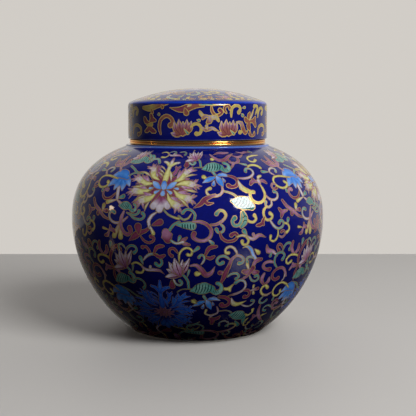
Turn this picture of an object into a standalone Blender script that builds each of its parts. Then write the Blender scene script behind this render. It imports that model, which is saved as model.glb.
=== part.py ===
"""Lidded ginger jar: a round porcelain jar, a domed cap lid, and a beaded brass ring on the lid's lower edge.

Metres, +Z up. The origin is on the table, on the jar's own axis, under the middle of the foot.
Every piece is turned: its outline, radius against height, is spun about that axis.
"""

import math

import bmesh
import bpy

# Sizes of the jar
BELLY_RADIUS = 0.100
BELLY_HEIGHT = 0.088
SHOULDER_HEIGHT = 0.1456
SHOULDER_FULLNESS = 2.44
LOWER_FULLNESS = 1.875
JAR_WALL = 0.0045
FLOOR_THICKNESS = 0.0060
FOOT_TOP_RADIUS = 0.0550
FOOT_RING_HEIGHT = 0.0020
FOOT_RING_SETBACK = 0.0014
FOOT_RING_WIDTH = 0.0060
FOOT_RECESS = 0.0030
FOOT_EDGE_ROUND = 0.0005

# The collar that the lid stands on, and the neck inside the lid
COLLAR_OVERHANG = 0.0018
COLLAR_HEIGHT = 0.0022
COLLAR_ROUND = 0.0009
COLLAR_FLARE = 0.0025
COLLAR_COVE = 0.0006
NECK_CLEARANCE = 0.0010
NECK_WALL = 0.0040
NECK_HEIGHT = 0.0160

# Sizes of the lid
LID_RADIUS = 0.0550
LID_WALL = 0.0040
LID_WALL_HEIGHT = 0.0256
LID_SHOULDER_ROUND = 0.0040
LID_EDGE_ROUND = 0.0010
LID_CEILING_ROUND = 0.0020
DOME_RADIUS = 0.139
DOME_THICKNESS = 0.0040

# The brass ring under the lid's wall
RING_BEADS = 2
BEAD_RADIUS = 0.0009
RING_SETBACK = 0.0011

# Room left between two pieces that touch
SEAT_GAP = 0.0003

# Fineness of the turning
SEGMENTS = 48
CURVE_STEPS = 11
ROUND_STEPS = 3
DOME_STEPS = 6

# Radii and heights that follow from the sizes
COLLAR_RADIUS = LID_RADIUS + COLLAR_OVERHANG
SHOULDER_END_RADIUS = COLLAR_RADIUS + COLLAR_FLARE
COLLAR_TOP = SHOULDER_HEIGHT + COLLAR_HEIGHT
BORE_RADIUS = LID_RADIUS - LID_WALL
NECK_RADIUS = BORE_RADIUS - NECK_CLEARANCE
MOUTH_RADIUS = NECK_RADIUS - NECK_WALL
NECK_TOP = COLLAR_TOP + NECK_HEIGHT
RING_BOTTOM = COLLAR_TOP + SEAT_GAP
RING_TOP = RING_BOTTOM + 2 * BEAD_RADIUS * RING_BEADS
LID_BOTTOM = RING_TOP + SEAT_GAP
FLOOR_TOP = FOOT_RECESS + FLOOR_THICKNESS


def rounded_share(share, fullness):
    """The other share of a superellipse, whose two shares, each to the power of fullness, add up to 1."""
    return (1 - share**fullness) ** (1 / fullness)


def arc(centre, radius, start, end, steps):
    """Points on a circle from one angle to another, in degrees, where 0 points outwards and 90 up."""
    points = []
    for step in range(steps + 1):
        angle = math.radians(start + (end - start) * step / steps)
        points.append((centre[0] + radius * math.cos(angle), centre[1] + radius * math.sin(angle)))
    return points


def superellipse(semi_radius, middle, semi_height, fullness, start, end, steps):
    """Points of a quarter superellipse between two heights, closer together where it turns in most."""
    low = math.asin((start - middle) / semi_height)
    high = math.asin((end - middle) / semi_height)
    points = []
    for step in range(steps + 1):
        height = middle + semi_height * math.sin(low + (high - low) * step / steps)
        share = abs(height - middle) / semi_height
        points.append((semi_radius * rounded_share(share, fullness), height))
    return points


def glazed(name, colour, roughness, metallic):
    material = bpy.data.materials.new(name)
    material.use_nodes = True
    shader = material.node_tree.nodes["Principled BSDF"]
    shader.inputs["Base Color"].default_value = (*colour, 1)
    shader.inputs["Roughness"].default_value = roughness
    shader.inputs["Metallic"].default_value = metallic
    return material


def turned(name, outline, material):
    """Spins a closed outline about the axis. A point at radius 0 becomes a pole."""
    mesh = bpy.data.meshes.new(name)
    spun = bmesh.new()
    corners = [spun.verts.new((radius, 0, height)) for radius, height in outline]
    edges = [spun.edges.new(pair) for pair in zip(corners, corners[1:])]
    if outline[0][0] > 0:
        edges.append(spun.edges.new((corners[-1], corners[0])))
    bmesh.ops.spin(
        spun,
        geom=corners + edges,
        cent=(0, 0, 0),
        axis=(0, 0, 1),
        angle=2 * math.pi,
        steps=SEGMENTS,
        use_merge=True,
    )
    bmesh.ops.remove_doubles(spun, verts=spun.verts, dist=1e-6)
    bmesh.ops.recalc_face_normals(spun, faces=spun.faces)
    spun.to_mesh(mesh)
    spun.free()
    mesh.shade_smooth()
    mesh.set_sharp_from_angle(angle=math.radians(35))
    mesh.materials.append(material)
    piece = bpy.data.objects.new(name, mesh)
    bpy.context.scene.collection.objects.link(piece)
    return piece


def jar_outline():
    """From the middle of the underside, up the outside, over the lip and down the inside to the floor."""
    foot_radius = FOOT_TOP_RADIUS - FOOT_RING_SETBACK
    drop = (BELLY_HEIGHT - FOOT_RING_HEIGHT) / rounded_share(FOOT_TOP_RADIUS / BELLY_RADIUS, LOWER_FULLNESS)
    rise = (SHOULDER_HEIGHT - BELLY_HEIGHT) / rounded_share(SHOULDER_END_RADIUS / BELLY_RADIUS, SHOULDER_FULLNESS)
    inner_foot = foot_radius - FOOT_RING_WIDTH
    outline = [(0, FOOT_RECESS), (inner_foot, FOOT_RECESS)]
    outline += [(inner_foot + FOOT_EDGE_ROUND, 0), (foot_radius - FOOT_EDGE_ROUND, 0)]
    outline += [(foot_radius, FOOT_EDGE_ROUND), (foot_radius, FOOT_RING_HEIGHT)]
    lower = (BELLY_RADIUS, BELLY_HEIGHT, drop, LOWER_FULLNESS)
    outline += superellipse(*lower, FOOT_RING_HEIGHT, BELLY_HEIGHT, CURVE_STEPS)
    upper = (BELLY_RADIUS, BELLY_HEIGHT, rise, SHOULDER_FULLNESS)
    outline += superellipse(*upper, BELLY_HEIGHT, SHOULDER_HEIGHT, CURVE_STEPS)[1:]
    collar_edge = COLLAR_TOP - COLLAR_ROUND
    outline.append((COLLAR_RADIUS + COLLAR_COVE, (SHOULDER_HEIGHT + collar_edge) / 2))
    outline += arc((COLLAR_RADIUS - COLLAR_ROUND, collar_edge), COLLAR_ROUND, 0, 90, ROUND_STEPS)
    outline.append((NECK_RADIUS, COLLAR_TOP))
    lip = NECK_WALL / 2
    outline += arc((NECK_RADIUS - lip, NECK_TOP - lip), lip, 0, 180, 2 * ROUND_STEPS)
    inner_rise = rise - JAR_WALL
    inner_radius = BELLY_RADIUS - JAR_WALL
    mouth = BELLY_HEIGHT + inner_rise * rounded_share(MOUTH_RADIUS / inner_radius, SHOULDER_FULLNESS)
    inside = superellipse(inner_radius, BELLY_HEIGHT, inner_rise, SHOULDER_FULLNESS, BELLY_HEIGHT, mouth, CURVE_STEPS)
    outline += inside[:0:-1]
    cavity = (inner_radius, BELLY_HEIGHT, drop - JAR_WALL, LOWER_FULLNESS)
    floor_round = 2 * JAR_WALL
    below = superellipse(*cavity, FLOOR_TOP + floor_round / 2, BELLY_HEIGHT, CURVE_STEPS)
    outline += below[::-1]
    outline += [(below[0][0] - floor_round, FLOOR_TOP), (0, FLOOR_TOP)]
    return outline


def lid_outline():
    """From the pole of the dome, down the outside, round the lower edge and up the inside to the ceiling."""
    wall_top = LID_BOTTOM + LID_WALL_HEIGHT
    reach = LID_RADIUS - LID_SHOULDER_ROUND
    tangent = math.degrees(math.acos(reach / (DOME_RADIUS - LID_SHOULDER_ROUND)))
    centre_height = wall_top - math.sqrt((DOME_RADIUS - LID_SHOULDER_ROUND) ** 2 - reach**2)
    outline = [(0, centre_height + DOME_RADIUS)]
    outline += arc((0, centre_height), DOME_RADIUS, 90, tangent, DOME_STEPS)[1:]
    outline += arc((reach, wall_top), LID_SHOULDER_ROUND, tangent, 0, ROUND_STEPS + 1)[1:]
    edge = LID_EDGE_ROUND
    outline += arc((LID_RADIUS - edge, LID_BOTTOM + edge), edge, 0, -90, ROUND_STEPS)
    outline.append((BORE_RADIUS, LID_BOTTOM))
    ceiling = DOME_RADIUS - DOME_THICKNESS
    inner_reach = BORE_RADIUS - LID_CEILING_ROUND
    inner_tangent = math.degrees(math.acos(inner_reach / (ceiling - LID_CEILING_ROUND)))
    inner_top = centre_height + math.sqrt((ceiling - LID_CEILING_ROUND) ** 2 - inner_reach**2)
    outline += arc((inner_reach, inner_top), LID_CEILING_ROUND, 0, inner_tangent, ROUND_STEPS)
    outline += arc((0, centre_height), ceiling, inner_tangent, 90, DOME_STEPS)[1:-1]
    outline.append((0, centre_height + ceiling))
    return outline


def ring_outline():
    """A flat inner face against the neck, and one half-round bead above the other outside."""
    bead_centre = LID_RADIUS - RING_SETBACK - BEAD_RADIUS
    outline = [(BORE_RADIUS, RING_TOP), (BORE_RADIUS, RING_BOTTOM)]
    for bead in range(RING_BEADS):
        middle = RING_BOTTOM + BEAD_RADIUS * (2 * bead + 1)
        points = arc((bead_centre, middle), BEAD_RADIUS, -90, 90, 2 * ROUND_STEPS)
        outline += points[1:] if bead else points
    return outline


def main():
    for old in list(bpy.data.objects):
        bpy.data.objects.remove(old)
    cobalt = glazed("cobalt_glaze", (0.012, 0.014, 0.20), 0.08, 0.0)
    brass = glazed("gilt_brass", (0.72, 0.42, 0.14), 0.22, 1.0)
    turned("jar", jar_outline(), cobalt)
    turned("lid", lid_outline(), cobalt.copy())
    turned("lid_rim_ring", ring_outline(), brass)


main()
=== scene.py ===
"""Studio scene of a lidded jar: cobalt-blue porcelain, enamelled flower scrolls and fired gold outlines."""

import math

import bpy
import numpy as np
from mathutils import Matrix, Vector, geometry, kdtree


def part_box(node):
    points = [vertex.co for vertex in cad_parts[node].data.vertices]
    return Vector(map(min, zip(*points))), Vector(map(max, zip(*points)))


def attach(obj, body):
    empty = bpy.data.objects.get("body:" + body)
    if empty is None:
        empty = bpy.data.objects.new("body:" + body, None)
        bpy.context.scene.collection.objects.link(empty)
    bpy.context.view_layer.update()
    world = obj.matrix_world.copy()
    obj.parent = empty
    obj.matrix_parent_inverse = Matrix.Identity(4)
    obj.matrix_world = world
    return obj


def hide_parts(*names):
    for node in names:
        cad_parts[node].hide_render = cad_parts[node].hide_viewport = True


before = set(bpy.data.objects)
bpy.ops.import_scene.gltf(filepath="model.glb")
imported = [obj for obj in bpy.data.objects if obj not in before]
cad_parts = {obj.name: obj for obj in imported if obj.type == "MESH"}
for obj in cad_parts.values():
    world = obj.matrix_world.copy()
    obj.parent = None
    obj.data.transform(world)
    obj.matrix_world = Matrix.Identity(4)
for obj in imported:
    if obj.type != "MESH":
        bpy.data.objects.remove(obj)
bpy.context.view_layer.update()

# The jar's body
# Wheel-turned porcelain, glazed cobalt blue outside and white inside, on a bare foot ring.
# Its outline, radius against height, is the same rule of two superellipses that the solid follows.
MM = 0.001
BELLY_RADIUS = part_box("jar")[1][0]
NECK_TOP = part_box("jar")[1][2]
BELLY_HEIGHT = 88 * MM
SHOULDER_HEIGHT = 145.6 * MM
SHOULDER_FULLNESS = 2.44
LOWER_FULLNESS = 1.875
FOOT_TOP_RADIUS = 55 * MM
FOOT_RING_HEIGHT = 2 * MM
FOOT_RING_SETBACK = 1.4 * MM
FOOT_RING_WIDTH = 6 * MM
FOOT_EDGE_ROUND = 0.5 * MM
FOOT_RECESS = 3 * MM
FLOOR_TOP = 9 * MM
JAR_WALL = 4.5 * MM
COLLAR_RADIUS = 56.8 * MM
COLLAR_FLARE = 2.5 * MM
COLLAR_TOP = 147.8 * MM
COLLAR_ROUND = 0.9 * MM
COLLAR_COVE = 0.6 * MM
NECK_RADIUS = 50 * MM
NECK_WALL = 4 * MM
WALL_STEPS = 160
INSIDE_STEPS = 22


def other_share(share, fullness):
    """The second share of a superellipse, whose two shares, each to the power of fullness, add up to 1."""
    return (1 - share**fullness) ** (1 / fullness)


def arc(centre, radius, start, end, steps):
    """Points on a circle between two angles in degrees, where 0 points outwards and 90 up."""
    angles = np.radians(np.linspace(start, end, steps + 1))
    return [(centre[0] + radius * math.cos(a), centre[1] + radius * math.sin(a)) for a in angles]


def superellipse(radius, middle, reach, fullness, start, end, steps):
    """Points of a quarter superellipse between two heights, closer together where it turns in most."""
    low = math.asin((start - middle) / reach)
    high = math.asin((end - middle) / reach)
    heights = middle + reach * np.sin(np.linspace(low, high, steps + 1))
    return [(radius * other_share(abs(z - middle) / reach, fullness), z) for z in heights]


def jar_profile():
    """The outline from the underside's middle, up the outside and down the inside, and its wall's ends."""
    drop = (BELLY_HEIGHT - FOOT_RING_HEIGHT) / other_share(FOOT_TOP_RADIUS / BELLY_RADIUS, LOWER_FULLNESS)
    shoulder_end = COLLAR_RADIUS + COLLAR_FLARE
    rise = (SHOULDER_HEIGHT - BELLY_HEIGHT) / other_share(shoulder_end / BELLY_RADIUS, SHOULDER_FULLNESS)
    foot = FOOT_TOP_RADIUS - FOOT_RING_SETBACK
    edge = FOOT_EDGE_ROUND
    line = [(0, FOOT_RECESS), (foot - FOOT_RING_WIDTH, FOOT_RECESS), (foot - FOOT_RING_WIDTH + edge, 0)]
    line += [(foot - edge, 0), (foot, edge), (foot, FOOT_RING_HEIGHT)]
    wall_start = len(line)
    lower = (BELLY_RADIUS, BELLY_HEIGHT, drop, LOWER_FULLNESS)
    line += superellipse(*lower, FOOT_RING_HEIGHT, BELLY_HEIGHT, WALL_STEPS)
    upper = (BELLY_RADIUS, BELLY_HEIGHT, rise, SHOULDER_FULLNESS)
    line += superellipse(*upper, BELLY_HEIGHT, SHOULDER_HEIGHT, WALL_STEPS)[1:]
    wall_end = len(line) - 1
    collar_edge = COLLAR_TOP - COLLAR_ROUND
    line.append((COLLAR_RADIUS + COLLAR_COVE, (SHOULDER_HEIGHT + collar_edge) / 2))
    line += arc((COLLAR_RADIUS - COLLAR_ROUND, collar_edge), COLLAR_ROUND, 0, 90, 6)
    line.append((NECK_RADIUS, COLLAR_TOP))
    lip = NECK_WALL / 2
    line += arc((NECK_RADIUS - lip, NECK_TOP - lip), lip, 0, 180, 12)
    inner = BELLY_RADIUS - JAR_WALL
    rise -= JAR_WALL
    mouth = BELLY_HEIGHT + rise * other_share((NECK_RADIUS - NECK_WALL) / inner, SHOULDER_FULLNESS)
    upper = (inner, BELLY_HEIGHT, rise, SHOULDER_FULLNESS)
    line += superellipse(*upper, BELLY_HEIGHT, mouth, INSIDE_STEPS)[:0:-1]
    lower = (inner, BELLY_HEIGHT, drop - JAR_WALL, LOWER_FULLNESS)
    cavity = superellipse(*lower, FLOOR_TOP + JAR_WALL, BELLY_HEIGHT, INSIDE_STEPS)
    line += cavity[::-1]
    line += [(cavity[0][0] - 2 * JAR_WALL, FLOOR_TOP), (0, FLOOR_TOP)]
    return line, wall_start, wall_end


def lengths_along(line):
    """How far along its own line each point of an outline lies."""
    steps = np.hypot(*np.diff(np.array(line), axis=0).T)
    return np.concatenate([[0], np.cumsum(steps)])


# The enamels
# Each cell is outlined in gold on the fired glaze, filled with a soft opaque enamel and fired again.
# Places are in millimetres on the jar's wall laid flat: across at the belly, and down from the collar.
COBALT = (0.003, 0.0065, 0.185)
GOLD = (0.66, 0.42, 0.14)
GOLD_LINE = 0.48
FINE_GOLD_LINE = 0.22
THINNEST_HALF = 0.12
POINT_EVERY = 2.6
POINT_TURN = math.radians(21)
CAP_EVERY = 1.1
THINNEST_FADE = 0.2
EDGE_FADE = 1.5
# each tint has a colour at a stroke's edge and one along its middle
TINTS = {
    "yellow": ((0.46, 0.42, 0.09), (0.74, 0.72, 0.25)),
    "cream": ((0.46, 0.44, 0.12), (0.70, 0.70, 0.30)),
    "white": ((0.46, 0.40, 0.50), (0.70, 0.64, 0.72)),
    "rose": ((0.15, 0.024, 0.065), (0.24, 0.05, 0.115)),
    "mauve": ((0.18, 0.045, 0.14), (0.33, 0.11, 0.27)),
    "pink": ((0.34, 0.13, 0.28), (0.54, 0.30, 0.48)),
    "green": ((0.045, 0.22, 0.20), (0.10, 0.36, 0.33)),
    "mint": ((0.12, 0.32, 0.28), (0.27, 0.49, 0.44)),
    "dark": ((0.006, 0.05, 0.055), (0.006, 0.05, 0.055)),
    "sky": ((0.02, 0.13, 0.58), (0.07, 0.30, 0.86)),
    "pale": ((0.16, 0.34, 0.80), (0.40, 0.58, 0.92)),
    "deep": ((0.014, 0.065, 0.46), (0.035, 0.15, 0.74)),
    "slate": ((0.02, 0.10, 0.50), (0.06, 0.22, 0.80)),
    "night": ((0.003, 0.015, 0.16), (0.004, 0.025, 0.24)),
}
sheet_cells = []
# the place, turn and size at which the next strokes are drawn
pen = {"shift": np.zeros(2), "turn": 0.0, "scale": 1.0}


def turned_by(points, degrees):
    """Points, or one point, turned about (0, 0)."""
    turn = math.radians(degrees)
    return points @ np.array([[math.cos(turn), math.sin(turn)], [-math.sin(turn), math.cos(turn)]])


def placed(points):
    """Points of a motif moved to where the motif is drawn now."""
    return turned_by(np.array(points, float), pen["turn"]) * pen["scale"] + pen["shift"]


def at(across, down, turn=0.0, scale=1.0):
    """From now on motifs are drawn about this place. at(0, 0) goes back to the sheet's own corner."""
    pen.update(shift=np.array([across, down], float), turn=turn, scale=scale)


def smooth(points):
    """A smooth line through a few points, with more points on it where it bends more."""
    points = np.array(points, float)
    if len(points) == 2:
        points = np.array([points[0], points.mean(axis=0), points[1]])
    ends = np.vstack([2 * points[0] - points[1], points, 2 * points[-1] - points[-2]])
    line = [points[0]]
    for a, b, c, d in zip(ends, ends[1:], ends[2:], ends[3:]):
        before, after = c - a, d - b
        bend = abs(math.atan2(before[0] * after[1] - before[1] * after[0], before @ after))
        steps = max(1, math.ceil(np.hypot(*(c - b)) / POINT_EVERY), math.ceil(bend / POINT_TURN))
        for t in np.arange(1, steps + 1) / steps:
            second, third = 2 * a - 5 * b + 4 * c - d, 3 * b - a - 3 * c + d
            line.append(0.5 * (2 * b + before * t + second * t**2 + third * t**3))
    return np.array(line)


def stroke(tints, widths, *points):
    """One stroke of enamel: its line, its half width at each point of it, and its tints from start to end."""
    line = smooth(placed(points))
    run = lengths_along(line) / lengths_along(line)[-1]
    widths = np.atleast_1d(widths) * pen["scale"]
    half = np.interp(run, np.linspace(0, 1, len(widths)), widths) / 2
    return {"line": line, "half": half, "run": run, "tints": tints.split()}


def rim(part, inset):
    """The closed outline of a stroke, drawn in by inset, with round ends."""
    line, half = part["line"], np.maximum(part["half"] - inset, THINNEST_HALF)
    along = np.gradient(line, axis=0)
    along /= np.maximum(np.hypot(*along.T), 1e-9)[:, None]
    side = np.stack([-along[:, 1], along[:, 0]], 1)
    caps = []
    for end, sign in ((-1, 1), (0, -1)):
        steps = max(3, math.ceil(math.pi * half[end] / CAP_EVERY))
        turns = np.linspace(0, math.pi, steps + 1)[1:-1, None]
        caps.append(line[end] + half[end] * (np.cos(turns) * side[end] + np.sin(turns) * along[end]) * sign)
    return np.vstack([line + half[:, None] * side, caps[0], (line - half[:, None] * side)[::-1], caps[1]])


def cell(*parts, gold=GOLD_LINE):
    """Strokes that share one gold outline."""
    sheet_cells.append((parts, gold))


def band(tints, widths, *points):
    """One stroke with a gold outline of its own."""
    cell(stroke(tints, widths, *points))


def vein(tints, widths, *points):
    """One stroke without gold."""
    cell(stroke(tints, widths, *points), gold=0)


def fork(tints, widths, base, *tips):
    """Strokes from one base to several tips under one outline."""
    cell(*(stroke(tints, widths, base, tip) for tip in tips))


def scroll(tints, width, *points):
    """A band that starts thin and ends in a bulb."""
    band(tints, [0.6 * width] + [width] * 5 + [1.45 * width], *points)


def drop(tints, width, base, tip):
    """A bud or leaf, narrow at its base and round at its tip."""
    base, tip = np.array(base, float), np.array(tip, float)
    length = np.hypot(*(tip - base))
    stop = base + (tip - base) * max(0.3, 1 - width / 2 / length)
    band(tints, [0.3 * width, 0.75 * width, width], base, (base + stop) / 2, stop)


def fleur(tints, base, *lobes):
    """Flame-shaped lobes from one base under one outline. Each lobe is (across, down, width) at its tip."""
    base = np.array(base, float)
    parts = []
    for number, (across, down, width) in enumerate(lobes):
        reach = np.array([across, down], float) - base
        bow = np.array([-reach[1], reach[0]]) * (0.22 if number % 2 else -0.22)
        widths = [0.5 * width, 0.75 * width, width, 1.05 * width, 0.7 * width]
        parts.append(stroke(tints, widths, base, base + reach * 0.55 + bow, base + reach * 0.96))
    cell(*parts)


def petal(tints, widths, spine, *lobes, teeth=None):
    """A petal with a ragged end. Each lobe, (across, down, width) at its tip, bends off and has a tooth."""
    parts = [stroke(tints, widths, *spine)]
    last = np.array(spine[-1], float)
    ahead = last - np.array(spine[-2])
    root = last - ahead * 0.5
    teeth = teeth or " ".join(tints.split()[-2:])
    for number, (across, down, width) in enumerate(lobes):
        tip = np.array([across, down], float)
        reach = tip - root
        bend = root + reach * 0.5 + (ahead / np.hypot(*ahead) * np.hypot(*reach) - reach) * 0.22
        lobe = [1.1 * width, 1.15 * width, width, 0.75 * width, 0.3 * width]
        parts.append(stroke(teeth, lobe, root, bend, tip))
        aside = turned_by(reach, 34 if number % 2 else -34) * 0.42
        tooth = [0.7 * width, 0.6 * width, 0.25 * width]
        parts.append(stroke(teeth, tooth, bend, bend + aside * 0.6, bend + aside))
    cell(*parts)


def all_round(count):
    """The sine and cosine of angles spread evenly over a full turn."""
    return [(math.sin(angle), math.cos(angle)) for angle in np.arange(count) * 2 * math.pi / count]


def flower(across, down, low, mid, mouth, high, ground, heart, turn=0.0, stamens=False, fullness=1.0):
    """The large open flower: ragged petals over a deeper ground, a spear above and a heart of small ones."""
    at(across, down, turn)
    rays = [((0, 0), (x * 9, y * 8), (x * 21, y * 17.5)) for x, y in all_round(14)]
    cell(*(stroke(f"{ground} {ground} {high}", [4, 5.4, 4, 0.5], *ray) for ray in rays))
    for *spine, lobes in (
        ((-4.6, -4.8), (-10.6, -8.2), (-13, -14.6),
         [(-20.4, -17.4, 3), (-16, -20.4, 3.2), (-10.8, -19.2, 3)]),
        ((6.4, -3), (13.2, -6.4), (17, -12.4), [(25.4, -14.2, 3.2), (21.8, -17.6, 3.4), (15.4, -17, 3)]),
        ((-8, -1.8), (-16.4, -1.8), (-22.6, -5.2), [(-30, -4.6, 2.8), (-26.4, -10, 2.8), (-29.4, -8.2, 2.4)]),
        ((8.6, -0.8), (16, -2.6), (22.2, -1.4), [(26.6, -5.6, 2.8), (29.2, 0, 2.8), (25.4, 3, 2.4)]),
        ((-8.4, 2.4), (-16.4, 5), (-23.4, 4), [(-30.4, 6.6, 2.6), (-27, 10.4, 2.4), (-29.8, 3, 2.2)]),
        ((8, 3), (13, 7.8), (19.6, 9.2), [(25.4, 7.2, 2.8), (24.8, 13, 2.8), (18.6, 14.8, 2.4)]),
        ((-4.8, 5.4), (-9.8, 9.8), (-16.6, 11), [(-21.6, 13.4, 2.6), (-19, 17.6, 2.6), (-13.6, 17, 2.4)]),
        ((3.6, 5.8), (6.4, 11.6), (11.6, 14.4), [(17.4, 14, 2.6), (14.8, 18.8, 2.8), (9.8, 19.6, 2.4)]),
    ):
        start = np.add(spine[0], spine[1]) / 2
        reach = np.array(spine[2]) - start
        frill = []
        for degrees, length in ((-36, 0.9), (-20, 1.1), (20, 1.1), (36, 0.9)):
            aside = turned_by(reach, degrees) * length
            bend = start + aside * 0.5 + reach * 0.06
            frill.append(stroke(f"{mid} {mouth} {high}", [1.6, 3, 3, 0.6], start, bend, start + aside))
        cell(*frill)
        lobes = [(x, y, width * fullness) for x, y, width in lobes]
        widths = [width * fullness for width in (1, 2.8, 4.6, 5.4, 5.4)]
        petal(f"{low} {low} {low} {mid}", widths, spine, *lobes, teeth=f"{low} {mid} {mouth} {high}")
    for spine in (
        [(-13, -7.6), (-19, -11), (-25.6, -12)],
        [(14, -6.4), (20, -9.4), (26, -9.8)],
        [(-15, -0.2), (-21, 1), (-27.6, 1.6)],
        [(16, 2.4), (21, 3.4), (26.4, 4.6)],
        [(-12, 7.6), (-18, 9.4), (-24, 13.6)],
        [(12, 9), (16.4, 12), (20.4, 16.4)],
        [(-9.6, 12), (-12, 16), (-12.6, 19.4)],
    ):
        band(f"{mid} {low} {high}", [0.4, 2, 2, 0.2], *spine)
    petal(high, [1.5, 3.5, 3], [(-3.5, -7), (-7, -11.5), (-8.4, -15)], (-9.6, -19, 2.4), (-6, -18, 2.4))
    petal(high, [1.5, 3.5, 3], [(4.5, -7), (7, -11), (8.4, -15)], (6.6, -18.5, 2.4), (11, -18.5, 2.4))
    for height in (-10.5, -13.5, -17):
        band(f"{low} {mid}", [0.8, 1.8, 0.3], (-1.6, height + 3.4), (-4.4, height + 0.6), (-8, height - 1.6))
    fading = f"{ground} {ground} {high} {mid} {mid}"
    cell(
        stroke(f"{ground} {fading}", [2, 5, 8, 8, 6], (0, 4.4), (-0.6, 9), (-1, 13), (-1.4, 17)),
        stroke(fading, [3, 4.4, 5.4, 5.4], (-0.4, 6), (-2, 10), (-6.2, 15)),
        stroke(fading, [3, 4.4, 5.4, 5], (-0.2, 6), (0.8, 10), (4.4, 15)),
    )
    cell(
        stroke(f"{low} {low} {low} {mid}", [5, 5.6, 3.4, 4], (0.2, -5), (0.6, -11), (1.2, -19)),
        stroke(f"{low} {low} {mid}", [3, 3.4, 2.4], (1, -17.6), (-2, -21.6), (-5.4, -23)),
        stroke(f"{low} {mid} {high}", [3, 3.6, 2], (1.2, -18), (1.8, -23), (2.4, -27.4)),
        stroke(f"{low} {low} {mid}", [3, 3.4, 2.4], (1.4, -17.6), (5, -21), (9, -22)),
    )
    band(f"{low} {mid}", [0.8, 3, 1], (2.6, -13), (4.4, -9), (5, -4.5))
    if stamens:
        for number, (x, y) in enumerate(all_round(22)):
            ends = [(x * 9.6 * far, 1.5 + y * 5.4 * far) for far in ((0.3, 0.66) if number % 2 else (0.5, 1))]
            cell(stroke(heart, [1.5, 1.7, 1.1], *ends), gold=FINE_GOLD_LINE)
        cell(stroke(heart, [2.6, 2.6], (-1, 1.5), (1, 1.5)), gold=FINE_GOLD_LINE)
    else:
        for side in (-1, 1):
            leaf = [(side * x, y) for x, y in ((2.2, 1.8), (4.6, 0.6), (6.8, -1.2), (9.8, -3.4))]
            band(heart, [2.2, 4, 5.2, 4.4, 1], *leaf)
            drop(heart, 3.2, (side * 2.6, 3.2), (side * 7.4, 6))
            drop(heart, 2.8, (side * 8, 1.6), (side * 12.4, 2.2))
        drop(heart, 4.4, (0, 2.6), (0, 8.2))
        band("sky pale", [4.6, 5.6, 4.8], (-0.2, -2.4), (0, -0.8), (0.2, 1))
    at(0, 0)


def lotus(across, down, turn=0.0, scale=1.0):
    """A half-open lotus seen from the side, deeper at its root and white at the tips."""
    at(across, down, turn, scale)
    for widths, *spine in (
        ([3, 5, 4.4, 1], (-1, 5.5), (-6, 4), (-10, 2)),
        ([3, 5.4, 4.6, 1], (-1, 6.5), (-6, 7), (-11.5, 8)),
        ([3.4, 5.6, 4, 0.8], (0, 5), (3.5, 0), (6.8, -6.5)),
        ([3, 4.6, 3.4, 0.8], (0, 5), (1, 0), (1.8, -5.5)),
        ([3.4, 6.4, 4.6, 0.8], (-1, 5), (-5.5, 1), (-8.2, -3.5)),
        ([4, 7.4, 5.4, 0.8], (-0.5, 6), (-2.6, 0), (-4, -6.5)),
    ):
        band("mauve pink white white", widths, *spine)
        vein("rose", [0.5, 0.9, 0.2], *((0.94 * x + 0.3, y + 1) for x, y in spine))
    at(0, 0)


def ribbed_leaf(across, down, turn=0.0, scale=1.0, ribs=6, hook=True):
    """A green leaf crossed by dark ribs, with a curled end."""
    at(across, down, turn, scale)
    parts = [stroke("green mint green", [1.4, 9, 11, 6], (-8.5, 1.5), (-3, 0), (3, -1), (8, -0.5))]
    if hook:
        curl = ((8, 1), (12, 3), (15.5, 0.5), (15, -3.5), (12, -5))
        parts.append(stroke("green mint green", [4, 5, 4.4, 3, 3.4], *curl))
    cell(*parts)
    for rib in range(ribs):
        start = -5.5 + rib * 2.3
        vein("dark", [0.4, 1.1, 0.5], (start, 3.4 - 0.2 * rib), (start + 1.6, -0.4), (start + 1.8, -4.2))
    if hook:
        for rib in range(3):
            start = 9.2 + rib * 1.7
            vein("dark", [0.3, 0.7, 0.3], (start, 0.8), (start + 0.6, 2.2), (start + 1.6, 3.6))
    at(0, 0)


def blue_leaf(across, down):
    """Three blue leaves and two buds on one short green stem."""
    at(across, down)
    band("green mint", [2.2, 2.8], (-0.5, -3), (-3, -7))
    drop("yellow", 4, (-8.5, -1), (-12.6, -4))
    band("sky sky pale", [2, 4.6, 4.2, 0.5], (-2, -2.5), (-7, -0.6), (-12, 2.2))
    band("sky pale", [2, 4, 3.4, 0.6], (0, -3.6), (5, -4.8), (10.8, -2.8))
    drop("pale sky", 3.4, (-2.8, 0.4), (-4.2, 5.2))
    drop("pale sky", 2.4, (4.2, -1.8), (5.8, 2))
    band("pale sky sky", [2, 6, 5.4, 0.5], (-0.6, -3.4), (1.6, 1), (3.8, 5.4))
    at(0, 0)


def leaf_cluster(across, down, trunk=9.0):
    """A broad blue leaf over a fan of four, on a white trunk with a spread foot."""
    at(across, down)
    band("white", [3, 3.4, 3], (0, 3), (0.5, 4 + trunk / 2), (2, 6 + trunk))
    drop("white yellow", 3.4, (1, 7 + trunk), (-9, 9.5 + trunk))
    drop("white pink", 3, (2, 7 + trunk), (9, 11 + trunk))
    drop("mint green", 3.8, (3, 5.5 + trunk), (9, 3.5 + trunk))
    scroll("rose rose pink", 2.3, (-1, 11), (-5, 15), (-11, 15.6), (-14.6, 12.2), (-13.4, 8.8), (-10.4, 9))
    cell(
        stroke("sky sky pale", [3, 8, 6.4, 2], (1, -1), (-4, 0.4), (-8.6, 2.6), (-12, 6)),
        stroke("sky sky pale", [4, 8, 6.4, 2], (0, -1), (-2, 3), (-3.8, 8)),
        stroke("sky sky pale", [4, 8, 6.4, 2], (1, -1), (3.4, 3), (4.4, 8.4)),
        stroke("sky sky pale", [3, 6.4, 5.4, 2], (1, -1.5), (6.4, 0.4), (10, 4.6)),
    )
    band("sky sky sky pale", [5, 8.4, 9, 6.4, 2.4], (5, -2), (1.4, -4.4), (-3.4, -5.4), (-8, -4.4),
         (-12.4, -2))
    at(0, 0)


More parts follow.
